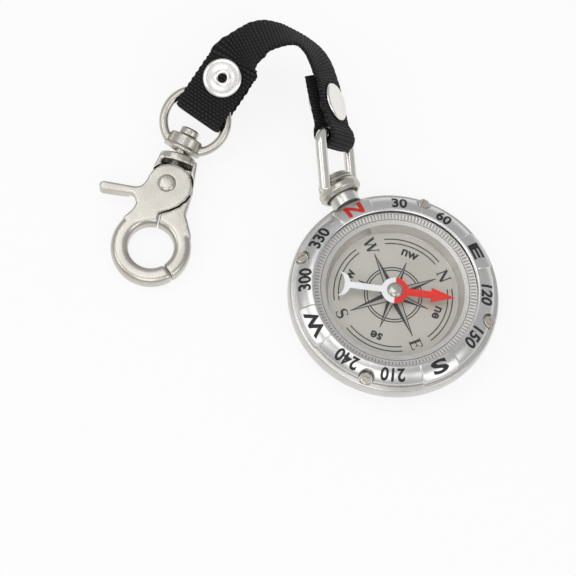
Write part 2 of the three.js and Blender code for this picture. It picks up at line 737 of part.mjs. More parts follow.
piece(eyeGroup, 'swivel_eye', swivelEye(), steel);
piece(eyeGroup, 'swivel_stud', swivelStud(), bright);

// Strap: the line midway between its layers runs from the fold in the eye to the fold on the bow
keychain.updateMatrixWorld(true);
const turnedBy = (group, x, y, z) => new THREE.Vector3(x, y, z).transformDirection(group.matrixWorld);

function eyeEnd() {
  const slide = strapTurnAtEye * degrees;
  const rise = strapRiseAtEye * degrees;
  const outward = turnedBy(eyeGroup, Math.sin(slide), Math.cos(slide), 0);
  const width = turnedBy(eyeGroup, -Math.cos(slide), Math.sin(slide), 0);
  const along = outward.clone().multiplyScalar(Math.cos(rise));
  along.addScaledVector(turnedBy(eyeGroup, 0, 0, 1), Math.sin(rise));
  const bore = eyeRadius - eyeWireRadius;
  const chord = Math.sqrt(bore ** 2 - (strapWidth / 2) ** 2);
  const fold = chord - runGap + eyeFoldHalf - strapThickness / 2;
  const at = eyeGroup.localToWorld(new THREE.Vector3(0, ringMiddle, 0)).addScaledVector(outward, fold);
  return { at, along, width };
}

function bowEnd() {
  const turn = strapTurnAtBow * degrees;
  const along = turnedBy(bowGroup, 0, -Math.sin(turn), Math.cos(turn));
  const at = bowGroup.localToWorld(new THREE.Vector3(0, 0, bowReach)).addScaledVector(along, -foldPastBar);
  return { at, along, width: turnedBy(bowGroup, 1, 0, 0) };
}

const eyeFold = eyeEnd();
const bowFold = bowEnd();
const onEnd = (end, distance) => end.at.clone().addScaledVector(end.along, distance);
const endRuns = [0, 0.33, 0.66, 1].map((share) => share * straightRun);
const upward = new THREE.Vector3(0, 0, 1);

// The width's lean at a place, and the width that has a given lean.
function leanOf(along, width) {
  const level = upward.clone().cross(along).normalize();
  return Math.atan2(width.dot(along.clone().cross(level)), width.dot(level)) / degrees;
}

function leaning(along, lean) {
  const level = upward.clone().cross(along).normalize();
  const steep = along.clone().cross(level);
  return level.multiplyScalar(Math.cos(lean * degrees)).addScaledVector(steep, Math.sin(lean * degrees));
}

const leanAtEye = leanOf(eyeFold.along, eyeFold.width);
const leanAtBow = leanOf(bowFold.along.clone().negate(), bowFold.width);
const routePoints = [
  ...endRuns.map((run) => ({ at: onEnd(eyeFold, run), lean: leanAtEye })),
  ...archRoute.map(({ at, lean }) => ({ at: vector(at), lean })),
  ...endRuns.reverse().map((run) => ({ at: onEnd(bowFold, run), lean: leanAtBow })),
];
const routeCurve = new THREE.CatmullRomCurve3(routePoints.map(({ at }) => at));
const leanCurve = new THREE.SplineCurve(routePoints.map(({ lean }, i) => new THREE.Vector2(i, lean)));
const routeLength = routeCurve.getLength();

// Place, direction, width and outer side of the middle line at a distance from the eye's fold.
function routeAt(distance) {
  const share = THREE.MathUtils.clamp(distance / routeLength, 0, 1);
  const time = routeCurve.getUtoTmapping(share);
  const along = routeCurve.getTangent(time);
  const width = leaning(along, leanCurve.getPoint(time).y);
  return { at: routeCurve.getPoint(time), along, width, out: along.clone().cross(width).normalize() };
}

const eyeLayers = { fold: eyeFoldHalf, stud: eyeFoldHalf, snap: snapAtEye };
const bowLayers = { fold: bowFoldHalf, stud: bowStudHalf, snap: snapAtBow };

// Half the distance between the layers: drawn in from the fold to the press stud, then to the
// tail's end, and what the single layer keeps of it past the tail.
function layerHalf(distance, { fold, stud, snap }) {
  const pinched = THREE.MathUtils.smoothstep(distance, foldPastBar, snap - studFlangeRadius);
  const drawn = THREE.MathUtils.smoothstep(distance, snap + studFlangeRadius, tailLength + 1);
  const ended = THREE.MathUtils.smoothstep(distance, tailLength + 1, tailLength + 10);
  const half = fold + (stud - fold) * pinched;
  return (half + (tailHalf - half) * drawn) * (1 - ended);
}

function layerStation(distance, offset) {
  const { at, width, out } = routeAt(distance);
  return { at: at.addScaledVector(out, offset), width };
}

function foldStations(distance, half, sign) {
  const { at, along, width, out } = routeAt(distance);
  return bend([0, 0], [half, half], 90, -90, 8).slice(1, -1).map(([forward, side]) => ({
    at: at.clone().addScaledVector(along, sign * forward).addScaledVector(out, side),
    width,
  }));
}

function strapStations() {
  const end = routeLength;
  const main = (d) => layerHalf(end - d, bowLayers) + layerHalf(d, eyeLayers);
  const stations = [
    ...spaced(tailLength, 0, 10).map((d) => layerStation(d, -layerHalf(d, eyeLayers))),
    ...foldStations(0, eyeFoldHalf, -1).reverse(),
    ...spaced(0, end, 48).map((d) => layerStation(d, main(d))),
    ...foldStations(end, bowFoldHalf, 1),
    ...spaced(end, end - tailLength, 10).map((d) => layerStation(d, -layerHalf(end - d, bowLayers))),
  ];
  return stations.map(({ at, width }, i) => {
    const ahead = stations[Math.min(i + 1, stations.length - 1)].at;
    const along = ahead.clone().sub(stations[Math.max(i - 1, 0)].at).normalize();
    return { at, across: width, up: along.cross(width).normalize() };
  });
}

// Frame at a press stud, with its Z axis towards the open eyelet side.
function studFrame(distance, sign) {
  const { at, along, width, out } = routeAt(distance);
  const z = out.clone().multiplyScalar(sign);
  const group = new THREE.Group();
  group.position.copy(at);
  group.quaternion.setFromRotationMatrix(new THREE.Matrix4().makeBasis(along, z.clone().cross(along), z));
  keychain.add(group);
  group.updateMatrixWorld(true);
  return group;
}

const eyeStud = studFrame(snapAtEye, 1);
const bowStud = studFrame(routeLength - snapAtBow, -1);

function strap() {
  const section = roundedSection(strapWidth / 2, strapThickness / 2, 0.3, 1);
  const holes = [eyeStud, bowStud].map((frame) => solid(
    rodGeometry(studTubeRadius + holeGap, -6, 6).applyMatrix4(frame.matrixWorld)));
  return cut(sweep(strapStations(), section), ...holes);
}

piece(keychain, 'strap', strap(), { color: 0x17171a, roughness: 0.9, metalness: 0 });

// One press stud: cap and socket on one layer, stud and eyelet post on the other
function pressStud(frame, name, half) {
  const inner = half - strapThickness / 2;
  const outer = half + strapThickness / 2 + runGap;
  const middle = -0.1 * half;
  const floor = -inner + studGap + studFloor;
  const flange = outer + studFlangeHeight;
  piece(frame, `${name}_cap`, revolve([
    [0, -flange], [studFlangeRadius - 0.5, -flange], [studFlangeRadius, -outer - 0.2],
    [studFlangeRadius, -outer], [studTubeRadius, -outer], [studTubeRadius, -inner - runGap],
    [0, -inner - runGap],
  ], 24), bright);
  piece(frame, `${name}_socket`, revolve([
    [0, -inner + studGap], [studRingRadius, -inner + studGap], [studRingRadius, middle],
    [studBossRadius + runGap, middle], [studBossRadius + runGap, floor], [0, floor],
  ], 20), bright);
  piece(frame, `${name}_stud`, revolve([
    [0, floor + runGap], [studBossRadius, floor + runGap], [studBossRadius, middle + runGap],
    [studRingRadius, middle + runGap], [studRingRadius, inner - studGap], [0, inner - studGap],
  ], 20), bright);
  piece(frame, `${name}_post`, revolve([
    [studEyelet, inner + runGap], [studTubeRadius, inner + runGap], [studTubeRadius, outer],
    [studFlangeRadius, outer], [studFlangeRadius, outer + 0.2], [studFlangeRadius - 0.6, flange],
    [studEyelet + 0.5, flange - 0.1], [studEyelet, flange - 0.3],
  ], 24), bright);
}

pressStud(eyeStud, 'eye_snap', eyeFoldHalf);
pressStud(bowStud, 'bow_snap', bowStudHalf);

export default keychain;
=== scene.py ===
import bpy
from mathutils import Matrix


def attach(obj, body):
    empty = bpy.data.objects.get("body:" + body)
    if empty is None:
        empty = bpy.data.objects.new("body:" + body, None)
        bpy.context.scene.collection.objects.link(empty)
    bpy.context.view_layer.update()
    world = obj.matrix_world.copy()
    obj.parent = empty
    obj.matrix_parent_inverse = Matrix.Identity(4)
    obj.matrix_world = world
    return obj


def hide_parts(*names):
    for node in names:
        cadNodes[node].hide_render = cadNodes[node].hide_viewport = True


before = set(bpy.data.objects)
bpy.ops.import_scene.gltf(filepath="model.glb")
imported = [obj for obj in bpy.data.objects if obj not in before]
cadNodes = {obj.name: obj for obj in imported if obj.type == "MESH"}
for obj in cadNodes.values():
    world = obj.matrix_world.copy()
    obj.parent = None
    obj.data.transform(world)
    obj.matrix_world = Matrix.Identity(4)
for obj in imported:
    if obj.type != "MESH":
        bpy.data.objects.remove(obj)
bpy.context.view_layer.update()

import math

import bmesh
import bpy
import numpy as np
from mathutils import Matrix

# Compass keychain. Lengths below are millimetres; meshes are written in metres.
mm = 0.001
scene = bpy.context.scene
scene.view_settings.view_transform = "Standard"


# the photograph's own view: place and lens in millimetres, clip in metres
cameraView = dict(
    place=(-125.84, -111.61, 419.12),
    right=(0.88942, -0.44818, 0.08980),
    up=(0.39241, 0.84943, 0.35282),
    lens=118.1,
    sensor=36,
    clip=(0.01, 20),
)


def addCamera():
    # the camera looks back along the cross product of its right and up
    right, up = np.array(cameraView["right"]), np.array(cameraView["up"])
    basis = np.eye(4)
    basis[:3, 0], basis[:3, 1], basis[:3, 2] = right, up, np.cross(right, up)
    basis[:3, 3] = np.array(cameraView["place"]) * mm
    data = bpy.data.cameras.new("photoCamera")
    data.lens, data.sensor_width = cameraView["lens"], cameraView["sensor"]
    data.clip_start, data.clip_end = cameraView["clip"]
    camera = bpy.data.objects.new("photoCamera", data)
    camera.matrix_world = Matrix(basis.tolist())
    scene.collection.objects.link(camera)
    scene.camera = camera


addCamera()
print("camera set")


# places are turns and shifts as four by four matrices
def shifted(x, y, z):
    place = np.eye(4)
    place[:3, 3] = x, y, z
    return place


def turnedAbout(axis, degrees):  # a turn in the plane of the two other axes
    a, b = {"x": (1, 2), "y": (2, 0), "z": (0, 1)}[axis]
    turn = np.eye(4)
    turn[a, a] = turn[b, b] = math.cos(math.radians(degrees))
    turn[b, a] = math.sin(math.radians(degrees))
    turn[a, b] = -turn[b, a]
    return turn


def moved(points, place):  # turned, then shifted
    return points @ place[:3, :3].T + place[:3, 3]


def unit(vectors):
    return vectors / np.linalg.norm(vectors, axis=-1, keepdims=True)


def runAlong(line):  # the distance of each point of a line from its start
    return np.concatenate([[0], np.cumsum(np.linalg.norm(np.diff(line, axis=0), axis=1))])


def sampled(table, run, distance):  # rows of a table read at distances between its own
    return np.stack([np.interp(distance, run, table[:, k]) for k in range(3)], -1)


def ease(value, low, high):  # smooth step from 0 at low to 1 at high
    share = np.clip((value - low) / (high - low), 0, 1)
    return share * share * (3 - 2 * share)


level = np.eye(4)
hookPlace = shifted(-46.1, 35.7, 2.9) @ turnedAbout("z", -41.1) @ turnedAbout("x", 3.6)
rivetPlace = hookPlace @ shifted(-0.6, 16, 0)
eyePlace = hookPlace @ shifted(0, 24.2, 0) @ turnedAbout("z", -10.7) @ turnedAbout("x", 14.4)
eyeAxisPlace = eyePlace @ turnedAbout("x", -90)
neckPlace = shifted(0, 0, 8) @ turnedAbout("x", -90)
crownPlace = neckPlace @ turnedAbout("z", 54)
bowPlace = crownPlace @ shifted(0, 0, 28.6) @ turnedAbout("x", 24.7)


def gridFaces(rows, columns, wrapRows=False, wrapColumns=False):
    # quads between neighbouring rows and columns, joined round where the grid wraps
    i, j = np.meshgrid(np.arange(rows if wrapRows else rows - 1),
                       np.arange(columns if wrapColumns else columns - 1), indexing="ij")
    down, across = (i + 1) % rows, (j + 1) % columns
    corners = [i * columns + j, i * columns + across, down * columns + across, down * columns + j]
    return np.stack(corners, -1).reshape(-1, 4)


def softened(profile, reach, steps=5, closed=True):
    # each corner becomes a parabola between two points a reach away along its sides
    points = np.asarray(profile, float)
    before, after = np.roll(points, 1, 0) - points, np.roll(points, -1, 0) - points
    sides = [np.maximum(np.linalg.norm(side, axis=1), 1e-9) for side in (before, after)]
    cut = np.minimum(reach, 0.46 * np.minimum(*sides))
    if not closed:
        cut[[0, -1]] = 0
    start = points + before * (cut / sides[0])[:, None]
    end = points + after * (cut / sides[1])[:, None]
    t = np.linspace(0, 1, steps)[None, :, None]
    bent = (1 - t) ** 2 * start[:, None] + 2 * t * (1 - t) * points[:, None] + t ** 2 * end[:, None]
    bent = bent.reshape(-1, 2)
    return bent if closed else bent[steps - 1:len(bent) - steps + 1]


def arcPoints(centre, radii, start, end, steps):  # points on part of an ellipse
    angle = np.radians(np.linspace(start, end, steps))
    return np.stack([centre[0] + radii[0] * np.cos(angle), centre[1] + radii[1] * np.sin(angle)], -1)


def turnedShell(profile, sides, place=level, closed=True):
    # a profile of radius and height carried round the place's own Z axis
    profile = np.asarray(profile, float)
    angle = np.linspace(0, 2 * np.pi, sides, endpoint=False)
    radius, height = profile[:, :1], profile[:, 1:]
    points = np.stack([radius * np.cos(angle), radius * np.sin(angle),
                       np.broadcast_to(height, (len(profile), sides))], -1)
    return moved(points.reshape(-1, 3), place), gridFaces(len(profile), sides, closed, True)


def sweptShell(path, across, up, section):
    # a closed section carried along a path, with both ends filled
    section = np.asarray(section, float)
    points = path[:, None] + across[:, None] * section[:, :1] + up[:, None] * section[:, 1:]
    count = len(section)
    faces = gridFaces(len(path), count, False, True)
    half = np.arange(count // 2 - 1)
    cap = np.stack([half, half + 1, count - 2 - half, count - 1 - half], -1)
    return points.reshape(-1, 3), np.concatenate([faces, cap, cap + (len(path) - 1) * count])


def wireShell(path, normal, radius, sides, endRound):
    # a circle carried along a flat path, drawn in as a quarter ellipse at both ends
    run = runAlong(path)
    length = run[-1]
    inset = endRound * (1 - np.cos(np.linspace(0, np.pi / 2, 9)))[:-1]
    along = np.concatenate([inset, np.linspace(endRound, length - endRound, 160), length - inset[::-1]])
    centre = sampled(path, run, along)
    tangent = unit(np.gradient(centre, along, axis=0))
    side = unit(np.cross(tangent, normal))
    edge = np.minimum(along, length - along)
    reach = radius * np.sqrt(1 - np.clip(1 - edge / endRound, 0, 1) ** 2)
    angle = np.linspace(0, 2 * np.pi, sides, endpoint=False)
    ring = side[:, None] * np.cos(angle)[:, None] + np.asarray(normal, float) * np.sin(angle)[:, None]
    points = centre[:, None] + ring * reach[:, None, None]
    return points.reshape(-1, 3), gridFaces(len(along), sides, False, True)


def strokeShell(path, halfWidth, low, high):
    # a printed line: a flat rectangle carried along a path in the plane
    path = np.asarray(path, float)
    tangent = unit(np.gradient(path, axis=0))
    side = np.stack([-tangent[:, 1], tangent[:, 0]], -1) * np.broadcast_to(halfWidth, len(path))[:, None]
    corner = np.stack([path + side, path - side, path - side, path + side], 1)
    height = np.broadcast_to([low, low, high, high], corner.shape[:2])
    points = np.concatenate([corner, height[..., None]], -1).reshape(-1, 3)
    last = (len(path) - 1) * 4
    ends = np.array([[0, 1, 2, 3], [last, last + 1, last + 2, last + 3]])
    return points, np.concatenate([gridFaces(len(path), 4, False, True), ends])


def plateShell(outline, low, high):
    # a flat outline between two heights, as one rim of quads and two many-sided faces
    count = len(outline)
    points = np.concatenate([np.column_stack([outline, np.full(count, z)]) for z in (low, high)])
    rim = gridFaces(2, count, False, True).tolist()
    return points, rim + [list(range(count)), list(range(count, 2 * count))]


def joinedMesh(name, shells):
    # shells of points and faces in one mesh, corners merged and faces turned outwards
    starts = np.cumsum([0] + [len(points) for points, faces in shells])
    points = np.concatenate([points for points, faces in shells]) * mm
    faces = [[int(k) + int(start) for k in face]
             for (_, shellFaces), start in zip(shells, starts) for face in shellFaces]
    mesh = bpy.data.meshes.new(name)
    mesh.from_pydata(points.tolist(), [], faces)
    work = bmesh.new()
    work.from_mesh(mesh)
    bmesh.ops.remove_doubles(work, verts=work.verts, dist=2e-7)
    bmesh.ops.dissolve_degenerate(work, edges=work.edges, dist=1e-8)
    bmesh.ops.recalc_face_normals(work, faces=work.faces)
    work.to_mesh(mesh)
    work.free()
    return mesh


def meshPoints(mesh):  # where a mesh's vertices are, one row each
    place = np.zeros(len(mesh.vertices) * 3, np.float32)
    mesh.vertices.foreach_get("co", place)
    return place.reshape(-1, 3)


def meshCorners(mesh):  # the vertices that its faces join, face after face
    corners = np.zeros(len(mesh.loops), np.int32)
    mesh.loops.foreach_get("vertex_index", corners)
    return corners


def shownMesh(holder):  # what an object shows, with its modifiers applied or its letters filled
    bpy.context.view_layer.update()
    return bpy.data.meshes.new_from_object(holder.evaluated_get(bpy.context.evaluated_depsgraph_get()))


def addPiece(name, mesh, finish, body, slotName, stands=(), sharp=35):
    # a smooth piece that rides on a body, takes a finish and stands for solids of the frame; the slot name is
    # not used
    piece = bpy.data.objects.new(name, mesh)
    scene.collection.objects.link(piece)
    mesh.materials.clear()
    mesh.materials.append(finish)
    mesh.shade_smooth()
    mesh.set_sharp_from_angle(angle=math.radians(sharp))
    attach(piece, body)
    if stands:
        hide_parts(*stands)
    return piece


def addShells(name, shells, *settings, **more):  # the same, from shells of points and faces
    return addPiece(name, joinedMesh(name, shells), *settings, **more)


def startMaterial(name, colour, metallic, roughness):  # one colour and gloss, to be linked over
    material = bpy.data.materials.new(name)
    material.use_nodes = True
    tree = material.node_tree
    shader = tree.nodes["Principled BSDF"]
    shader.inputs["Base Color"].default_value = (*colour, 1)
    shader.inputs["Metallic"].default_value = metallic
    shader.inputs["Roughness"].default_value = roughness
    return material, tree, shader


def addNode(tree, kind, **settings):  # a node with its options set
    node = tree.nodes.new(kind)
    for key, value in settings.items():
        setattr(node, key, value)
    return node


def grainOn(tree, scale, detail, place=None):
    # noise on the piece's own coordinates, or on a map of its own
    if place is None:
        place = addNode(tree, "ShaderNodeTexCoord").outputs["Object"]
    noise = addNode(tree, "ShaderNodeTexNoise")
    noise.inputs["Scale"].default_value = scale
    noise.inputs["Detail"].default_value = detail
    tree.links.new(place, noise.inputs["Vector"])
    return noise.outputs["Fac"]


def spread(tree, source, low, high, start=0.3, end=0.7):  # maps a grey value to a range
    remap = addNode(tree, "ShaderNodeMapRange")
    remap.inputs["From Min"].default_value = start
    remap.inputs["From Max"].default_value = end
    remap.inputs["To Min"].default_value = low
    remap.inputs["To Max"].default_value = high
    tree.links.new(source, remap.inputs["Value"])
    return remap.outputs["Result"]


def blended(tree, factor, first, second):  # a colour between two colours or sockets
    mix = addNode(tree, "ShaderNodeMix", data_type="RGBA")
    tree.links.new(factor, mix.inputs["Factor"])
    for socket, value in ((mix.inputs[6], first), (mix.inputs[7], second)):
        if isinstance(value, tuple):
            socket.default_value = (*value, 1)
        else:
            tree.links.new(value, socket)
    return mix.outputs[2]


def combined(tree, operation, *values):  # one sum of sockets and numbers
    step = addNode(tree, "ShaderNodeMath", operation=operation)
    for socket, value in zip(step.inputs, values):
        if isinstance(value, (int, float)):
            socket.default_value = value
        else:
            tree.links.new(value, socket)
    return step.outputs[0]


def mixedSurface(tree, share, first, second):  # the first shader, and the second by a share
    mix = addNode(tree, "ShaderNodeMixShader")
    for socket, source in zip(mix.inputs, (share, first, second)):
        tree.links.new(source, socket)
    tree.links.new(mix.outputs["Shader"], tree.nodes["Material Output"].inputs["Surface"])


def bumped(tree, shader, source, distance):  # a grey value read as a height
    bump = addNode(tree, "ShaderNodeBump")
    bump.inputs["Distance"].default_value = distance
    bump.inputs["Strength"].default_value = 1.0
    tree.links.new(source, bump.inputs["Height"])
    tree.links.new(bump.outputs["Normal"], shader.inputs["Normal"])


# the clouds' scale and greys, the pointiness over which edges wear, and how much brighter they get
metalLook = dict(cloudScale=180, clouds=(0.35, 0.65), edges=(0.515, 0.56), bare=1.22)


def metalFinish(name, dark, light, smooth, rough, grain=5200, wear=0.35, bump=6e-6):
    # a plated metal: fine grain in its gloss, broad cloudiness in its colour, brighter worn edges
    material, tree, shader = startMaterial(name, light, 1.0, rough)
    fine = grainOn(tree, grain, 4)
    cloud = grainOn(tree, metalLook["cloudScale"], 2)
    colour = blended(tree, spread(tree, cloud, 0, 1, *metalLook["clouds"]), dark, light)
    edges = addNode(tree, "ShaderNodeNewGeometry").outputs["Pointiness"]
    worn = spread(tree, edges, 0, wear, *metalLook["edges"])
    bare = tuple(min(1.0, metalLook["bare"] * channel) for channel in light)
    tree.links.new(blended(tree, worn, colour, bare), shader.inputs["Base Color"])
    tree.links.new(spread(tree, fine, smooth, rough), shader.inputs["Roughness"])
    bumped(tree, shader, fine, bump)
    return material


satinMetal = metalFinish("satinNickel", (0.60, 0.59, 0.565), (0.66, 0.65, 0.625), 0.25, 0.33, bump=3e-6)
bezelMetal = metalFinish("satinBezel", (0.655, 0.65, 0.635), (0.705, 0.70, 0.685), 0.25, 0.31,
                         wear=0.5, bump=2e-6)
castMetal = metalFinish("brushedCasting", (0.53, 0.505, 0.455), (0.61, 0.585, 0.53), 0.24, 0.34,
                        wear=0.5, bump=4e-6)
brightMetal = metalFinish("brightPlate", (0.76, 0.735, 0.69), (0.84, 0.815, 0.77), 0.08, 0.15,
                          grain=2600, wear=0.1, bump=2e-6)
studMetal = metalFinish("studPlate", (0.84, 0.825, 0.79), (0.87, 0.855, 0.82), 0.22, 0.26,
                        grain=1200, wear=0.1, bump=3e-7)
wireMetal = metalFinish("polishedWire", (0.72, 0.70, 0.655), (0.78, 0.76, 0.715), 0.18, 0.26,
                        wear=0.4, bump=2e-6)
screwMetal = metalFinish("screwPlate", (0.56, 0.53, 0.47), (0.66, 0.63, 0.56), 0.16, 0.26,
                         grain=2600, wear=0.3, bump=2e-6)
# near-black metal for the press studs' inner halves: painted shade where they show between the strap's layers
paintedShadeMetal = metalFinish("paintedShadePlate", (0.05, 0.046, 0.042), (0.10, 0.092, 0.084), 0.40, 0.55)


def paintFinish(name, colour, roughness):
    # printed ink or paint with a faint unevenness
    material, tree, shader = startMaterial(name, colour, 0.0, roughness)
    fine = grainOn(tree, 3500, 3)
    dim = tuple(0.82 * channel for channel in colour)
    tree.links.new(blended(tree, spread(tree, fine, 0, 1), dim, colour), shader.inputs["Base Color"])
    tree.links.new(spread(tree, fine, roughness - 0.08, roughness + 0.08), shader.inputs["Roughness"])
    return material


blackInk = paintFinish("blackInk", (0.012, 0.012, 0.013), 0.5)
roseShade = paintFinish("roseShade", (0.47, 0.45, 0.40), 0.5)
redPaint = paintFinish("redPaint", (0.66, 0.012, 0.006), 0.45)


def dialFinish():
    # silvered face: fine grain in its gloss, faint clouds in its colour
    material, tree, shader = startMaterial("silveredDial", (0.56, 0.53, 0.475), 0.35, 0.42)
    fine = grainOn(tree, 4200, 4)
    cloud = grainOn(tree, 120, 2)
    colour = blended(tree, spread(tree, cloud, 0, 1), (0.54, 0.51, 0.455), (0.59, 0.56, 0.505))
    tree.links.new(colour, shader.inputs["Base Color"])
    tree.links.new(spread(tree, fine, 0.34, 0.5), shader.inputs["Roughness"])
    bumped(tree, shader, fine, 5e-6)
    return material


def chapterFinish():
    # polished silver ring with painted shade in its grooves and sunk line, its share read from the mesh's own
    # attribute
    silver, grooveShade = (0.70, 0.67, 0.64), (0.30, 0.265, 0.25)
    material, tree, shader = startMaterial("silveredRing", silver, 0.75, 0.27)
    groove = addNode(tree, "ShaderNodeAttribute", attribute_name="groove").outputs["Fac"]
    tree.links.new(blended(tree, groove, silver, grooveShade), shader.inputs["Base Color"])
    return material


def needleFinish(heading):
    # red on the side of the hub towards the tip, white on the other side
    material, tree, shader = startMaterial("needlePaint", (0.80, 0.016, 0.005), 0.0, 0.45)
    shader.inputs["Specular IOR Level"].default_value = 0.2
    coordinates = addNode(tree, "ShaderNodeTexCoord")
    along = addNode(tree, "ShaderNodeVectorMath", operation="DOT_PRODUCT")
    along.inputs[1].default_value = (math.sin(math.radians(heading)), math.cos(math.radians(heading)), 0)
    tree.links.new(coordinates.outputs["Object"], along.inputs[0])
    side = spread(tree, along.outputs["Value"], 0, 1, -0.00003, 0.00003)
    fine = grainOn(tree, 3500, 3)
    white = blended(tree, spread(tree, fine, 0, 1), (0.90, 0.90, 0.90), (0.95, 0.95, 0.95))
    red = blended(tree, spread(tree, fine, 0, 1), (0.76, 0.012, 0.004), (0.84, 0.02, 0.007))
    tree.links.new(blended(tree, side, white, red), shader.inputs["Base Color"])
    tree.links.new(spread(tree, fine, 0.32, 0.46), shader.inputs["Roughness"])
    return material


def rubberFinish():
    # dull black, uneven in its gloss
    material, tree, shader = startMaterial("gasketRubber", (0.03, 0.03, 0.03), 0.0, 0.75)
    fine = grainOn(tree, 2800, 3)
    tree.links.new(spread(tree, fine, 0.65, 0.85), shader.inputs["Roughness"])
    return material


def crystalFinish():
    # clear glass that lets the lamps through to the dial
    material, tree, shader = startMaterial("clearCrystal", (0.97, 0.98, 0.98), 0.0, 0.02)
    shader.inputs["Transmission Weight"].default_value = 1.0
    shader.inputs["IOR"].default_value = 1.46
    through = addNode(tree, "ShaderNodeBsdfTransparent")
    path = addNode(tree, "ShaderNodeLightPath")
    mixedSurface(tree, path.outputs["Is Shadow Ray"], shader.outputs["BSDF"], through.outputs["BSDF"])
    return material


# millimetres along and across the strap, then what the hairs and yarns add to the ribs; dark and light are
# the painted shade of the weave's valleys and the painted highlight of its tops
weaveSizes = dict(rib=0.78, yarn=0.55, yarnShare=0.25, hairScale=3.2, hairShare=0.6, bump=1.8e-4,
                  dark=(0.001, 0.001, 0.0012), light=(0.04, 0.038, 0.038))


def webbingFinish():
    # ribs across the strap, each broken into yarns that lie half a step off those of the next rib
    w = weaveSizes
    material, tree, shader = startMaterial("blackWebbing", (0.012, 0.012, 0.013), 0.0, 0.8)
    shader.inputs["Sheen Weight"].default_value = 0.06
    shader.inputs["Sheen Roughness"].default_value = 0.5
    shader.inputs["Specular IOR Level"].default_value = 0.3
    strapMap = addNode(tree, "ShaderNodeUVMap", uv_map="strapMap").outputs["UV"]
    parts = addNode(tree, "ShaderNodeSeparateXYZ")
    tree.links.new(strapMap, parts.inputs["Vector"])

    def wave(socket, pitch):  # a cosine that changes sign from one rib or yarn to the next
        return combined(tree, "COSINE", combined(tree, "MULTIPLY", socket, math.pi / pitch))

    ribWave, yarnWave = wave(parts.outputs["X"], w["rib"]), wave(parts.outputs["Y"], w["yarn"])
    crossed = combined(tree, "MULTIPLY", ribWave, yarnWave)
    yarns = combined(tree, "MULTIPLY_ADD", crossed, w["yarnShare"], 1 - w["yarnShare"])
    ribs = combined(tree, "MULTIPLY", combined(tree, "ABSOLUTE", ribWave), yarns)
    hairs = grainOn(tree, w["hairScale"], 4, strapMap)
    height = combined(tree, "MULTIPLY_ADD", hairs, w["hairShare"], ribs)
    # the colour follows the weave's height: valleys darkened as painted shade, rib tops lightened as painted
    # highlight, with random tone from the hairs
    colour = blended(tree, spread(tree, height, 0, 1, 0.7, 1.4), w["dark"], w["light"])
    tree.links.new(colour, shader.inputs["Base Color"])
    tree.links.new(spread(tree, hairs, 0.7, 0.92), shader.inputs["Roughness"])
    bumped(tree, shader, height, w["bump"])
    return material


dialFace = dialFinish()
chapterFace = chapterFinish()
gasketRubber = rubberFinish()
clearCrystal = crystalFinish()
blackWebbing = webbingFinish()
print("materials made")


# solids of the frame that stay as they are, with a finish of their own
for nodeName, finish in (
    ("dial", dialFace), ("crystal_gasket", gasketRubber), ("crystal", clearCrystal),
    ("needle_pivot", brightMetal), ("crown_pin", satinMetal), ("trigger_spring", brightMetal),
    # the press studs' inner halves take the near-black painted shade
    ("eye_snap_socket", paintedShadeMetal), ("eye_snap_stud", paintedShadeMetal),
    ("bow_snap_socket", paintedShadeMetal), ("bow_snap_stud", paintedShadeMetal),
):
    for materialSlot in cadNodes[nodeName].material_slots:
        materialSlot.material = finish


caseSizes = dict(radius=25, foot=22.2, footLow=3.3, rimLow=5, rimHigh=7, seat=24.6, seatHigh=8.2,
                 bore=19.8, lip=20.65, ledge=15.5, ledgeLow=4.4, ledgeHigh=5, edgeRound=0.45,
                 neckRadius=3.4, neckHeight=8, neckStart=24.3, neckRoot=24.15, neckEnd=27.4,
                 neckRound=0.4, neckSides=72, sides=240)


def makeCase():
    # a turned ring with a rounded foot, and a neck that stands out of it
    c = caseSizes
    rimReach = c["radius"] - c["foot"], c["rimLow"] - c["footLow"]
    rim = arcPoints((c["foot"], c["rimLow"]), rimReach, -90, 0, 14)
    profile = np.concatenate([
        [[c["ledge"], c["ledgeLow"]], [c["lip"], c["ledgeLow"]], [c["lip"], c["footLow"]]], rim[:-1],
        [[c["radius"], c["rimLow"] + 0.2], [c["radius"], c["rimHigh"]], [c["seat"], c["seatHigh"]],
         [c["bore"], c["seatHigh"]], [c["bore"], c["ledgeHigh"]], [c["ledge"], c["ledgeHigh"]]],
    ])
    ring = turnedShell(softened(profile, c["edgeRound"], 6), c["sides"])
    # the neck's root follows the bezel's edge, and its end is rounded and closed
    sides, radius, bend = c["neckSides"], c["neckRadius"], c["neckRound"]
    angle = np.linspace(0, 2 * np.pi, sides, endpoint=False)
    root = np.sqrt(c["neckRoot"] ** 2 - (radius * np.cos(angle)) ** 2)
    t = np.linspace(0, 1, 24)[:, None]
    turn = np.linspace(0, np.pi / 2, 7)[:, None]
    straight = root + (c["neckEnd"] - bend - root) * t
    rounded = c["neckEnd"] - bend + bend * np.sin(turn) + 0 * angle
    along = np.concatenate([root[None], straight, rounded, np.full((1, sides), c["neckEnd"])])
    reach = np.concatenate([np.zeros((1, sides)), np.full(straight.shape, float(radius)),
                            radius - bend + bend * np.cos(turn) + 0 * angle, np.zeros((1, sides))])
    points = np.stack([reach * np.cos(angle), along, c["neckHeight"] + reach * np.sin(angle)], -1)
    points[0] = 0, c["neckStart"], c["neckHeight"]
    neck = points.reshape(-1, 3), gridFaces(len(along), sides, False, True)
    addShells("caseRing", [ring, neck], satinMetal, "case", "satin_metal", ["case_ring"])


backSizes = dict(flat=15, dome=(6.4, 2.9), inside=(4.2, 1.8), edge=3.25, spigot=20.4, spigotTop=4.3,
                 edgeRound=0.2, sides=240)


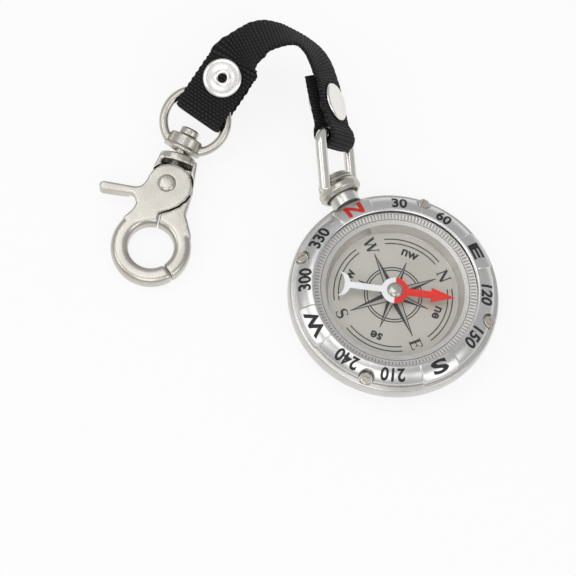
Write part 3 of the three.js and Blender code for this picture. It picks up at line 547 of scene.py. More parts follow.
def makeBack():
    # a turned dish: flat middle, quarter ellipse outside and inside, and a spigot into the case
    b = backSizes
    centre = b["flat"], b["dome"][1]
    outer, inner = b["flat"] + b["dome"][0], b["flat"] + b["inside"][0]
    profile = np.concatenate([
        [[0, 0]], arcPoints(centre, b["dome"], -90, 0, 28),
        [[outer, b["edge"]], [b["spigot"], b["edge"]], [b["spigot"], b["spigotTop"]],
         [inner, b["spigotTop"]]],
        arcPoints(centre, b["inside"], 0, -90, 10), [[0, b["dome"][1] - b["inside"][1]]],
    ])
    shell = turnedShell(softened(profile, b["edgeRound"], 3, closed=False), b["sides"], closed=False)
    addShells("backCover", [shell], satinMetal, "case", "satin_metal", ["back_cover"])


makeCase()
makeBack()
print("case made")


bezelSizes = dict(inner=19.3, fieldOuter=23.5, tileOuter=23.9, top=11.6, edge=9.2, crown=2.2, lip=11.0,
                  floor=8.25, rabbet=20.4, fieldDrop=0.12, tileRaise=0.65, tileHalf=12.0, tileCorner=1.3,
                  tileMiddle=21.55, tileReach=2.45, tileEdge=0.14, innerDrop=0.15, innerRun=0.5,
                  screwCircle=23.2, notch=1.65, notchEdge=(-0.06, 0.26), notchFloor=8.85,
                  edgeRound=0.28, innerRound=0.12)


def tileShare(radius, bearing):
    # 1 on a raised tile and 0 on a number field, from the distance to a box with round corners
    b = bezelSizes
    around = np.radians((bearing + 45) % 90 - 45) * radius
    half, corner = np.radians(b["tileHalf"]) * radius, b["tileCorner"]
    dx = np.abs(around) - half + corner
    dy = np.abs(radius - b["tileMiddle"]) - b["tileReach"] + corner
    outside = np.hypot(np.maximum(dx, 0), np.maximum(dy, 0)) + np.minimum(np.maximum(dx, dy), 0) - corner
    return 1 - ease(outside, -b["tileEdge"], b["tileEdge"])


def bezelTop(radius, bearing):
    # a curve falling from the inner edge to the outer one, lowered between tiles and cut at each screw
    b = bezelSizes
    fall = np.clip((radius - b["inner"]) / (b["tileOuter"] - b["inner"]), 0, 1) ** b["crown"]
    height = b["top"] - b["fieldDrop"] - (b["top"] - b["edge"]) * fall
    height = height + (b["fieldDrop"] + b["tileRaise"] * fall) * tileShare(radius, bearing)
    height = height - b["innerDrop"] * (1 - ease(radius, b["inner"], b["inner"] + b["innerRun"]))
    off = np.radians((bearing % 90) - 45)
    away = np.hypot(radius * np.cos(off) - b["screwCircle"], radius * np.sin(off)) - b["notch"]
    wall = ease(away, *b["notchEdge"])
    return b["notchFloor"] + np.maximum(height - b["notchFloor"], 0) * wall


def makeBezel():
    # the top's height over bearing and radius, closed by a rounded outer edge and a stepped underside
    b = bezelSizes
    # one column a degree, and finer ones at the screw and at both ends of the tiles
    quarter = np.concatenate([np.arange(0, 90, 1.0), np.arange(39, 51, 0.2),
                              np.arange(9.5, 14, 0.25), np.arange(76, 80.5, 0.25)])
    quarter = np.unique(np.round(quarter, 3))
    bearing = np.concatenate([quarter + 90 * k for k in range(4)])[None]
    span = np.abs((bearing + 45) % 90 - 45)
    onTile = 1 - ease(span, b["tileHalf"] - 1.6, b["tileHalf"] + 0.2)
    outer = b["fieldOuter"] + (b["tileOuter"] - b["fieldOuter"]) * onTile
    inner, bend = b["inner"], b["edgeRound"]
    start = inner + b["innerRound"]
    t = np.linspace(0, 1, 50)[:, None]
    radius = start + (outer - bend - start) * t
    height = bezelTop(radius, bearing)
    turn = np.linspace(0, np.pi / 2, 7)[1:, None]
    edgeRadius = outer - bend + bend * np.sin(turn)
    edgeHeight = np.maximum(bezelTop(edgeRadius, bearing) - bend * (1 - np.cos(turn)), b["floor"] + 0.2)
    ones = np.ones_like(bearing)
    chamfer = 0.1
    rows = [
        (inner * ones, height[:1] - chamfer), (radius, height), (edgeRadius, edgeHeight),
        (outer, b["floor"] + chamfer * ones), (outer - chamfer, b["floor"] * ones),
        (b["rabbet"] * ones, b["floor"] * ones), (b["rabbet"] * ones, b["lip"] * ones),
        (inner * ones, b["lip"] * ones),
    ]
    radius = np.concatenate([row[0] for row in rows])
    height = np.concatenate([row[1] for row in rows])
    angle = np.radians(np.broadcast_to(bearing, radius.shape))
    points = np.stack([radius * np.sin(angle), radius * np.cos(angle), height], -1)
    shell = points.reshape(-1, 3), gridFaces(*radius.shape, True, True)
    addShells("bezelRing", [shell], bezelMetal, "case", "satin_metal", ["bezel"], sharp=50)


screwSizes = dict(radius=1.35, seat=8.9, top=9.75, crown=0.12, edgeRound=0.3, slot=0.3, slotDepth=0.6,
                  slotTurn=35, slotStep=50)


def makeScrews():
    # a round head whose top is lowered in a straight slot
    s = screwSizes
    corners = [[0, s["top"]], [s["radius"], s["top"] - s["crown"]], [s["radius"], s["seat"]], [0, s["seat"]]]
    profile = softened(corners, s["edgeRound"], 7, False)
    lid = np.stack([np.linspace(0, profile[1, 0] - 0.02, 16), np.full(16, s["top"])], -1)[1:]
    profile = np.concatenate([profile[:1], lid, profile[1:]])
    head = s["seat"] + 0.3  # points above this belong to the head's top
    for k, bearing in enumerate((45, 135, 225, 315)):
        points, faces = turnedShell(profile, 96, closed=False)
        turn = np.radians(s["slotTurn"] + s["slotStep"] * k)
        across = np.abs(points[:, 1] * np.cos(turn) - points[:, 0] * np.sin(turn))
        inSlot = 1 - ease(across, s["slot"] - 0.03, s["slot"] + 0.06)
        lowered = np.maximum(points[:, 2] - s["slotDepth"] * inSlot, s["seat"] + 0.2)
        points[:, 2] = np.where(points[:, 2] > head, lowered, points[:, 2])
        points[:, 0] += bezelSizes["screwCircle"] * math.sin(math.radians(bearing))
        points[:, 1] += bezelSizes["screwCircle"] * math.cos(math.radians(bearing))
        addShells(f"bezelScrew{k + 1}", [(points, faces)], screwMetal, "case", "bright_metal",
                  [f"bezel_screw_{k + 1}"])


makeBezel()
makeScrews()
print("bezel made")


def fontShape(text, width, height, bold, pitch=0.45):
    # flat letters stretched to a width and height, cut on a grid so that they can follow a curve
    curve = bpy.data.curves.new("lettering", "FONT")
    curve.body, curve.offset, curve.resolution_u = text, bold, 4
    holder = bpy.data.objects.new("lettering", curve)
    scene.collection.objects.link(holder)
    mesh = shownMesh(holder)
    place = meshPoints(mesh)[:, :2].astype(float)
    low, high = place.min(0), place.max(0)
    size = np.array([width or height * (high - low)[0] / (high - low)[1], height])
    place = (place - (low + high) / 2) / (high - low) * size
    mesh.vertices.foreach_set("co", np.column_stack([place, 0 * place[:, 0]]).astype(np.float32).ravel())
    work = bmesh.new()
    work.from_mesh(mesh)
    for axis in (0, 1):
        for line in np.arange(-size[axis] / 2 + pitch / 2, size[axis] / 2, pitch):
            at, normal = [0, 0, 0], [0, 0, 0]
            at[axis], normal[axis] = line, 1
            bmesh.ops.bisect_plane(work, geom=work.verts[:] + work.edges[:] + work.faces[:],
                                   plane_co=at, plane_no=normal, dist=1e-5)
    bmesh.ops.triangulate(work, faces=work.faces)
    work.to_mesh(mesh)
    work.free()
    points, faces = meshPoints(mesh)[:, :2].astype(float), meshCorners(mesh).reshape(-1, 3)
    bpy.data.objects.remove(holder)
    bpy.data.curves.remove(curve)
    bpy.data.meshes.remove(mesh)
    return points, faces


def thickened(piece, thickness):  # flat print given a depth, half of it on either side
    solid = piece.modifiers.new("inkDepth", "SOLIDIFY")
    solid.thickness, solid.offset = thickness * mm, 0


labelSizes = dict(middle=21.5, lift=0.035, depth=0.05, number=2.9, bold=0.028, tileBold=0.034)


def makeBezelLabels():
    # black letters and degrees, and a red letter at the top
    s = labelSizes
    # text, bearing, width and height
    tiles = [("E", 90, 4.0, 2.75), ("S", 180, 4.1, 3.1), ("W", 270, 6.3, 3.05)]
    numbers = [(str(b), b, None, s["number"]) for b in (30, 60, 120, 150, 210, 240, 300, 330)]

    def onBezel(text, bearing, width, height, bold):
        # across becomes bearing and height becomes radius, laid on the bezel's curve
        flat, faces = fontShape(text, width, height, bold)
        radius = s["middle"] + flat[:, 1]
        angle = bearing + np.degrees(flat[:, 0] / s["middle"])
        z = bezelTop(radius, angle) + s["lift"]
        turn = np.radians(angle)
        return np.stack([radius * np.sin(turn), radius * np.cos(turn), z], -1), faces

    shells = [onBezel(*label, s["tileBold"]) for label in tiles]
    shells += [onBezel(*label, s["bold"]) for label in numbers]
    north = onBezel("N", 0, 4.4, 3.1, s["tileBold"])
    thickened(addShells("bezelNumbers", shells, blackInk, "case", "dial_face"), s["depth"])
    thickened(addShells("bezelNorth", [north], redPaint, "case", "dial_face"), s["depth"])


makeBezelLabels()
print("bezel lettered")


dialSizes = dict(face=5.65, turn=94, inkLow=0.005, inkDepth=0.03, line=0.14, circles=(6.85, 6.2),
                 circleTop=0.025, arcs=(14.1, 13.0), arcSpan=(15, 75), letter=2.75, weight=1.3, letterAt=13.2,
                 wordHeight=1.75, wordAt=11.05, wordBold=0.03)
# the rose's long and short points: reach, base, half width, and how far the print stands up
rosePoints = ((11.1, 2.6, 1.05, 0.04), (8.9, 2.34, 0.8, 0.02))


def turnedBy(flat, bearing):  # flat points turned clockwise
    turn = math.radians(bearing)
    x, y = flat[:, 0], flat[:, 1]
    return np.column_stack([x * math.cos(turn) + y * math.sin(turn), y * math.cos(turn) - x * math.sin(turn)])


def onDial(shell):  # turned as the dial lies in the case, and set on its face
    points, faces = shell
    return np.column_stack([turnedBy(points, dialSizes["turn"]), dialSizes["face"] + points[:, 2]]), faces


def makeRose():
    # eight points, each a dark and a light wedge from the middle to its tip, the light one outlined
    d = dialSizes
    dark, light = [], []
    middle = np.zeros(2)
    for k in range(8):
        reach, base, half, rise = rosePoints[k % 2]
        bearing = math.radians(45 * k)
        ahead = np.array([math.sin(bearing), math.cos(bearing)])
        right = np.array([ahead[1], -ahead[0]])
        tip, darkFoot, lightFoot = ahead * reach, ahead * base + right * half, ahead * base - right * half
        low, high = d["inkLow"], rise + d["inkDepth"]
        dark.append(plateShell(np.array([middle, tip, darkFoot]), low, high))
        light.append(plateShell(np.array([middle, tip, lightFoot]), low, high - 0.01))
        for line in ((middle, lightFoot), (lightFoot, tip)):
            dark.append(strokeShell(line, d["line"] * 0.8, low, high))
    addShells("roseDark", [onDial(shell) for shell in dark], blackInk, "case", "dial_face")
    addShells("roseLight", [onDial(shell) for shell in light], roseShade, "case", "dial_face")


def makeDialLines():
    # two whole circles, and two arcs in each quarter
    d = dialSizes
    shells = []
    low, high = d["face"] + d["inkLow"], d["face"] + d["circleTop"]
    for radius in d["circles"]:
        inner, outer = radius - d["line"], radius + d["line"]
        shells.append(turnedShell([[inner, low], [outer, low], [outer, high], [inner, high]], 160))
    for quarter in range(4):
        for radius in d["arcs"]:
            bearing = np.radians(np.linspace(*d["arcSpan"], 40) + 90 * quarter)
            path = np.stack([radius * np.sin(bearing), radius * np.cos(bearing)], -1)
            shells.append(onDial(strokeShell(path, d["line"], d["inkLow"], d["inkDepth"])))
    addShells("dialLines", shells, blackInk, "case", "dial_face")


# serif capitals as straight strokes (x, y, x, y, half width) in a letter one unit high
serifStrokes = {
    "N": [(-0.36, -0.5, -0.36, 0.5, 0.04), (0.36, -0.5, 0.36, 0.5, 0.04), (-0.38, 0.48, 0.36, -0.5, 0.085),
          (-0.54, 0.48, -0.3, 0.48, 0.025), (-0.52, -0.48, -0.2, -0.48, 0.025),
          (0.2, 0.48, 0.52, 0.48, 0.025)],
    "E": [(-0.22, -0.5, -0.22, 0.5, 0.085), (-0.4, 0.475, 0.36, 0.475, 0.03),
          (-0.4, -0.475, 0.38, -0.475, 0.03), (-0.2, 0.02, 0.2, 0.02, 0.028), (0.34, 0.26, 0.34, 0.5, 0.03),
          (0.37, -0.5, 0.37, -0.24, 0.03), (0.19, -0.12, 0.19, 0.16, 0.028)],
    "W": [(-0.6, 0.48, -0.28, -0.5, 0.085), (-0.28, -0.5, 0.0, 0.4, 0.035), (-0.02, 0.48, 0.3, -0.5, 0.085),
          (0.3, -0.5, 0.58, 0.48, 0.035), (-0.76, 0.48, -0.44, 0.48, 0.025), (-0.18, 0.48, 0.14, 0.48, 0.025),
          (0.44, 0.48, 0.74, 0.48, 0.025)],
}


def makeDialLetters():
    # four capitals drawn in strokes, and four small words turned to their bearings
    d = dialSizes
    shells, words = [], []

    def placeLetter(path, halfWidth, bearing):
        turn = math.radians(bearing)
        centre = d["letterAt"] * np.array([math.sin(turn), math.cos(turn)])
        line = np.asarray(path) * d["letter"] + centre
        half = np.asarray(halfWidth) * d["letter"] * d["weight"]
        shells.append(onDial(strokeShell(line, half, d["inkLow"], d["inkDepth"])))

    for letter, bearing in (("N", 0), ("E", 90), ("W", 270)):
        for x0, y0, x1, y1, half in serifStrokes[letter]:
            placeLetter([(x0, y0), (x1, y1)], half, bearing)
    # the S is two part ellipses whose stroke swells in the middle, with a serif at either end
    upper = arcPoints((0, 0.24), (0.27, 0.25), 35, 262, 30)
    lower = arcPoints((0, -0.25), (0.29, 0.25), 82, -150, 30)
    curve = np.concatenate([upper, lower])
    t = np.linspace(0, 1, len(curve))
    placeLetter(curve, 0.025 + 0.065 * np.sin(np.pi * t) ** 2, 180)
    placeLetter([(0.23, 0.28), (0.27, 0.48)], 0.025, 180)
    placeLetter([(-0.27, -0.24), (-0.3, -0.5)], 0.025, 180)

    for word, bearing in (("ne", 45), ("se", 135), ("sw", 225), ("nw", 315)):
        flat, faces = fontShape(word, None, d["wordHeight"], d["wordBold"], pitch=2)
        flat = turnedBy(flat + (0, d["wordAt"]), bearing)
        points = np.column_stack([flat, np.full(len(flat), d["inkDepth"] / 2)])
        words.append(onDial((points, faces)))
    addShells("dialLetters", shells, blackInk, "case", "dial_face")
    thickened(addShells("dialWords", words, blackInk, "case", "dial_face"), d["inkDepth"])


chapterSizes = dict(inner=16.4, outer=19.4, low=5.7, top=9.6, slope=0.3, wall=0.8, foot=15.5,
                    tickStart=18.0, tickEnd=19.1, tickCount=144, tickSides=6, tickDepth=0.05,
                    line=17.6, lineHalf=0.08, lineDepth=0.06)


def makeChapterRing():
    # a dished ring whose sloping top carries fine radial grooves
    c = chapterSizes
    t = np.linspace(0, 1, 14)[:, None]
    wall = np.column_stack([c["inner"] - (c["inner"] - c["foot"]) * (1 - np.sqrt(1 - (1 - t) ** 2)),
                            c["low"] + (c["top"] - c["slope"] - c["low"]) * t])
    radius = np.concatenate([
        np.linspace(c["inner"] + 0.05, c["line"] - 0.2, 3), c["line"] + np.array([-0.1, -0.06, 0.06, 0.1]),
        [c["tickStart"] - 0.1], np.linspace(c["tickStart"], c["tickEnd"], 8),
        np.linspace(c["tickEnd"] + 0.1, c["outer"], 3),
    ])

    def topAt(reach):
        return c["top"] - c["slope"] * (c["outer"] - reach) / (c["outer"] - c["inner"])

    height = topAt(radius) - c["lineDepth"] * (np.abs(radius - c["line"]) < c["lineHalf"])
    below, back = c["top"] - c["wall"], c["inner"] + c["wall"]
    under = [[c["outer"], below], [back, below], [back, c["low"]]]
    profile = np.concatenate([wall, np.column_stack([radius, height]), under])
    sides = c["tickCount"] * c["tickSides"]
    points, faces = turnedShell(profile, sides)
    grid = points.reshape(len(profile), sides, 3)
    phase = np.cos(np.arange(sides) * 2 * np.pi / c["tickSides"])
    inTicks = (radius > c["tickStart"] - 0.01) & (radius < c["tickEnd"] + 0.01)
    onTop = np.concatenate([np.zeros(len(wall)), inTicks, np.zeros(len(under))])
    depth = onTop[:, None] * ease(phase, 0.2, 0.9)[None]
    grid[..., 2] -= c["tickDepth"] * depth
    mesh = joinedMesh("chapterRing", [(grid.reshape(-1, 3), faces)])
    # how deep each point lies below the plain slope, read by the finish as the share of painted shade
    groove = mesh.attributes.new("groove", "FLOAT", "POINT")
    place = meshPoints(mesh) / mm
    reach = np.hypot(place[:, 0], place[:, 1])
    onSlope = (reach > c["line"] - c["lineHalf"]) & (place[:, 2] > c["top"] - 0.6)
    inBand = onSlope & (reach < c["tickEnd"] + 0.05)
    shade = np.clip((topAt(reach) - place[:, 2]) / c["tickDepth"], 0, 1)
    groove.data.foreach_set("value", np.where(inBand, shade, 0).astype(np.float32))
    addPiece("chapterRing", mesh, chapterFace, "case", "chapter_face", ["chapter_ring"])


makeRose()
makeDialLines()
makeDialLetters()
makeChapterRing()
print("dial made")


needleSizes = dict(low=8.3, high=8.7, heading=122.5, tip=14.2, headBase=8.6, headHalf=1.8, stemHalf=0.85,
                   hub=3.2, tailHalf=0.78, tail=10.5, crescentHalf=3.0, crescentDepth=2.7, crescentWidth=1.45,
                   hornWidth=0.2, barb=0.05, edge=0.07)
# the cap's turned profile up to its dome: radius and height
needleCapProfile = [[0, 9.0], [0.9, 9.0], [0.9, 8.0], [1.4, 8.0], [1.4, 8.72], [1.85, 8.75], [1.9, 8.95]]
needleCapDome = dict(low=9.0, radius=1.72, height=0.6)


def makeNeedle():
    # one outline: arrow head, stem, round hub, tail, and a crescent that opens away from the hub
    n = needleSizes
    stemAngle = math.degrees(math.asin(n["stemHalf"] / n["hub"]))
    tailAngle = math.degrees(math.asin(n["tailHalf"] / n["hub"]))
    crescent, hub = (0, -n["tail"] - n["crescentDepth"]), (n["hub"], n["hub"])
    outside = n["crescentHalf"], n["crescentDepth"]
    inside = n["crescentHalf"] - n["hornWidth"], n["crescentDepth"] - n["crescentWidth"]
    joinAngle = math.degrees(math.acos(n["tailHalf"] / n["crescentHalf"]))
    neck = n["headBase"] - n["barb"]
    outline = np.concatenate([
        [[0, n["tip"]], [-n["headHalf"], n["headBase"]], [-n["stemHalf"], neck]],
        arcPoints((0, 0), hub, 90 + stemAngle, 270 - tailAngle, 40),
        arcPoints(crescent, outside, 180 - joinAngle, 180, 14),
        arcPoints(crescent, inside, 180, 0, 30),
        arcPoints(crescent, outside, 0, joinAngle, 14),
        arcPoints((0, 0), hub, -90 + tailAngle, 90 - stemAngle, 40),
        [[n["stemHalf"], neck], [n["headHalf"], n["headBase"]]],
    ])
    points, faces = plateShell(outline, n["low"], n["high"])
    points = moved(points, turnedAbout("z", -n["heading"]))
    paint = needleFinish(n["heading"])
    needle = addShells("needleArrow", [(points, faces)], paint, "needle", "needle_paint", ["needle"])
    bevel = needle.modifiers.new("needleEdge", "BEVEL")
    bevel.width, bevel.segments, bevel.limit_method = n["edge"] * mm, 2, "ANGLE"
    dome = needleCapDome
    cap = np.concatenate([
        needleCapProfile, arcPoints((0, dome["low"]), (dome["radius"], dome["height"]), 8, 90, 16)[:-1],
        [[0, dome["low"] + dome["height"]]],
    ])
    shell = turnedShell(softened(cap, 0.08, 3, False), 96, closed=False)
    addShells("needleCap", [shell], screwMetal, "needle", "bright_metal", ["needle_cap"])


makeNeedle()
print("needle made")


crownSizes = dict(radius=5.2, foot=26.6, hollow=4.0, web=28.1, webTop=29.4, bore=2.7, pin=1.5, top=31.2,
                  shoulder=28.7, waist=4.7, grooves=((29.75, 4.62), (30.65, 4.4)), grooveHalf=0.17,
                  grooveDepth=0.6, lid=(4.25, 4.1), edgeRound=0.3,
                  button=3.95, buttonGap=0.05, buttonRise=1.2, buttonFoot=0.15, plug=2.45, plugDepth=0.35)
bowSizes = dict(wire=1.35, reach=13.4, half=7.75, below=1.4, corner=3.0, endRound=0.9, pin=0.95, pinEnd=4.3)


def makeCrown():
    # a hollow collar that draws in to a waist with two grooves, and a low domed button on top
    c = crownSizes
    half, deep = c["grooveHalf"], c["grooveDepth"]
    grooves = np.concatenate([
        [[r, y - half], [r - deep, y - half * 0.8], [r - deep, y + half * 0.8], [r - 0.04, y + half]]
        for y, r in c["grooves"]])
    bevel = [[c["hollow"], c["foot"] + 0.2], [c["hollow"] + 0.25, c["foot"]],
             [c["radius"] - 0.1, c["foot"] + 0.85], [c["radius"], c["foot"] + 1.1]]
    shoulder = [[c["radius"], c["shoulder"]], [c["waist"] + 0.15, c["shoulder"] + 0.5],
                [c["waist"], c["shoulder"] + 0.8]]
    lid = [[c["lid"][0], c["top"] - 0.15], [c["lid"][1], c["top"]], [c["bore"], c["top"]]]
    web = [[c["bore"], c["webTop"]], [c["pin"], c["webTop"]], [c["pin"], c["web"]], [c["hollow"], c["web"]]]
    profile = np.concatenate([bevel, shoulder, grooves, lid, web])
    shell = turnedShell(softened(profile, c["edgeRound"], 6), 144, crownPlace)
    addShells("crownCollar", [shell], castMetal, "crown", "satin_metal", ["crown"])
    base, edge = c["top"] + c["buttonGap"], 0.02
    low = base - c["plugDepth"]
    dome = c["button"] + edge, c["buttonRise"] - c["buttonFoot"]
    profile = np.concatenate([
        [[0, low], [c["plug"], low], [c["plug"], base], [c["button"], base + edge]],
        arcPoints((0, base + c["buttonFoot"]), dome, 0, 90, 16),
    ])
    shell = turnedShell(softened(profile, 0.1, 3, False), 96, crownPlace, closed=False)
    addShells("crownButton", [shell], castMetal, "crown", "satin_metal", ["crown_button"])


def makeBow():
    # a wire bent to a loop with two round corners, and a pin turned in at either foot
    b = bowSizes
    bar, side = b["reach"] - b["corner"], b["half"] - b["corner"]
    corner = b["corner"], b["corner"]
    flat = np.concatenate([
        [[b["half"], -b["below"]]], arcPoints((side, bar), corner, 0, 90, 24),
        arcPoints((-side, bar), corner, 90, 180, 24), [[-b["half"], -b["below"]]],
    ])
    path = np.stack([flat[:, 0], 0 * flat[:, 0], flat[:, 1]], -1)
    points, faces = wireShell(path, (0, 1, 0), b["wire"], 40, b["endRound"])
    shells = [(moved(points, bowPlace), faces)]
    corners = [[0, b["pinEnd"]], [b["pin"], b["pinEnd"]], [b["pin"], b["half"]], [0, b["half"]]]
    pin = softened(corners, 0.15, 4, False)
    shells += [turnedShell(pin, 40, bowPlace @ turnedAbout("y", turn), closed=False) for turn in (90, -90)]
    addShells("bowWire", shells, wireMetal, "bow", "satin_metal", ["bow"])


makeCrown()
makeBow()
print("crown and bow made")


eyeSizes = dict(radius=7.65, wire=1.1, middle=9.4, barrel=4.2, rim=4.6, rimHigh=0.8, low=1.35, high=5.05,
                bore=1.5, edgeRound=0.35, voxel=0.14, passes=5)
studSizes = dict(flange=4.7, tube=1.6, hole=0.95, height=0.55, lift=0.3, sink=0.22, lip=0.2, capRound=0.4,
                 eyeletRound=0.3, sides=128)
strapSizes = dict(width=12.5, thickness=1.2, tail=16.3, snapAtEye=8.8, snapAtBow=8.3,
                  eyeHalf=2.3, bowHalf=2.25, bowStudHalf=1.45, tailHalf=1.1,
                  turnAtEye=9.5, riseAtEye=6, turnAtBow=-8, pastBar=0.75, straight=14,
                  runGap=0.3, ribDepth=0.2, scallop=0.2, rowStep=0.13)
# the arch between the straight ends: x, y, z, and how far the width turns about the route from level
archRoute = [(-4.2, 67.4, 18.2, -22), (-2.5, 67.6, 19.5, -26), (-0.1, 67.3, 20.1, -29), (3.4, 66, 19.7, -40),
             (5.8, 64.2, 18.7, -50), (7.4, 61.4, 17.1, -53), (8, 57.1, 14.8, -51)]


def eyeEnd():
    # the fold in the eye's ring: as far out as the ring's bore is still as wide as the strap
    s, e = strapSizes, eyeSizes
    slide, rise = math.radians(s["turnAtEye"]), math.radians(s["riseAtEye"])
    turn = eyePlace[:3, :3]
    outward = turn @ (math.sin(slide), math.cos(slide), 0)
    width = turn @ (-math.cos(slide), math.sin(slide), 0)
    along = outward * math.cos(rise) + turn[:, 2] * math.sin(rise)
    chord = math.sqrt((e["radius"] - e["wire"]) ** 2 - (s["width"] / 2) ** 2)
    fold = chord - s["runGap"] + s["eyeHalf"] - s["thickness"] / 2
    return moved(np.array([0, e["middle"], 0]), eyePlace) + outward * fold, along, width


def bowEnd():
    # the fold round the bow's bar, a little past the bar's middle
    s = strapSizes
    turn = math.radians(s["turnAtBow"])
    along = bowPlace[:3, :3] @ (0, -math.sin(turn), math.cos(turn))
    at = moved(np.array([0, 0, bowSizes["reach"]]), bowPlace) - along * s["pastBar"]
    return at, along, bowPlace[:3, 0]


def leanOf(along, width):  # the width's angle from level, about the route
    side = unit(np.cross((0, 0, 1), along))
    return math.degrees(math.atan2(width @ np.cross(along, side), width @ side))


def routePoints():
    # four points on each straight end, with the arch's points between them
    s = strapSizes
    runs = np.array([0, 0.33, 0.66, 1])[:, None] * s["straight"]
    eyeAt, eyeAlong, eyeWidth = eyeEnd()
    bowAt, bowAlong, bowWidth = bowEnd()
    arch = np.array(archRoute, float)
    places = np.concatenate([eyeAt + eyeAlong * runs, arch[:, :3], (bowAt + bowAlong * runs)[::-1]])
    eyeLean, bowLean = leanOf(eyeAlong, eyeWidth), leanOf(-bowAlong, bowWidth)
    return places, np.concatenate([np.full(4, eyeLean), arch[:, 3], np.full(4, bowLean)])


def routeCurve(samples=4000):
    # a cubic through the points, each step weighted by the square root of its length, and the lean along it
    places, leans = routePoints()
    t = np.linspace(0, len(places) - 1, samples)
    k = np.minimum(t.astype(int), len(places) - 2)
    w = (t - k)[:, None]
    wide = np.concatenate([2 * places[:1] - places[1:2], places, 2 * places[-1:] - places[-2:-1]])
    p0, p1, p2, p3 = (wide[k + n] for n in range(4))
    d0, d1, d2 = (np.sqrt(np.linalg.norm(b - a, axis=1))[:, None] for a, b in ((p0, p1), (p1, p2), (p2, p3)))
    m1 = ((p1 - p0) / d0 - (p2 - p0) / (d0 + d1) + (p2 - p1) / d1) * d1
    m2 = ((p2 - p1) / d1 - (p3 - p1) / (d1 + d2) + (p3 - p2) / d2) * d1
    at = p1 + m1 * w + (3 * (p2 - p1) - 2 * m1 - m2) * w ** 2 + (2 * (p1 - p2) + m1 + m2) * w ** 3
    held = np.concatenate([leans[:1], leans, leans[-1:]])
    l0, l1, l2, l3 = (held[k + n] for n in range(4))
    w = w[:, 0]
    n1, n2 = (l2 - l0) / 2, (l3 - l1) / 2
    lean = l1 + n1 * w + (3 * (l2 - l1) - 2 * n1 - n2) * w ** 2 + (2 * (l1 - l2) + n1 + n2) * w ** 3
    return at, lean, runAlong(at)


routePlaces, routeLeans, routeRun = routeCurve()
routeTangents = unit(np.gradient(routePlaces, routeRun, axis=0))
routeLength = routeRun[-1]


def routeAt(distance):
    # place, direction, width and outer side of the line midway between the strap's layers
    distance = np.atleast_1d(np.clip(distance, 0, routeLength))
    at = sampled(routePlaces, routeRun, distance)
    along = unit(sampled(routeTangents, routeRun, distance))
    lean = np.radians(np.interp(distance, routeRun, routeLeans))[:, None]
    side = unit(np.cross((0, 0, 1), along))
    width = side * np.cos(lean) + np.cross(along, side) * np.sin(lean)
    return at, along, width, unit(np.cross(along, width))


def layerHalf(distance, fold, stud, snap):
    # half the room between the layers: full at the fold, drawn in to the press stud and then to the
    # tail's end, gone beyond it
    s, flange = strapSizes, studSizes["flange"]
    pinched = ease(distance, s["pastBar"], snap - flange)
    drawn = ease(distance, snap + flange, s["tail"] + 1)
    ended = ease(distance, s["tail"] + 1, s["tail"] + 10)
    half = fold + (stud - fold) * pinched
    return (half + (s["tailHalf"] - half) * drawn) * (1 - ended)


def strapLine():
    # tail, fold in the eye, main layer, fold on the bow, tail
    s = strapSizes
    end = routeLength
    tail = np.linspace(s["tail"], 0, 160)
    body = np.linspace(0, end, 600)
    swing = np.radians(np.linspace(90, -90, 50))[1:-1, None]

    def layer(distance, offset):  # the route, set off to one side
        at, along, width, out = routeAt(distance)
        return at + out * offset[:, None], width

    def fold(distance, half, sign):  # half a circle from one layer to the other
        at, along, width, out = routeAt(distance)
        around = along * np.cos(swing) + out * np.sin(swing)
        return at + sign * around * half, np.repeat(width, len(swing), 0)

    eyeLayers = s["eyeHalf"], s["eyeHalf"], s["snapAtEye"]
    bowLayers = s["bowHalf"], s["bowStudHalf"], s["snapAtBow"]
    parts = [
        layer(tail, -layerHalf(tail, *eyeLayers)), fold(0, s["eyeHalf"], -1),
        layer(body, layerHalf(end - body, *bowLayers) + layerHalf(body, *eyeLayers)),
        fold(end, s["bowHalf"], 1), layer(end - tail[::-1], -layerHalf(tail[::-1], *bowLayers)),
    ]
    return np.concatenate([p[0] for p in parts]), np.concatenate([p[1] for p in parts])


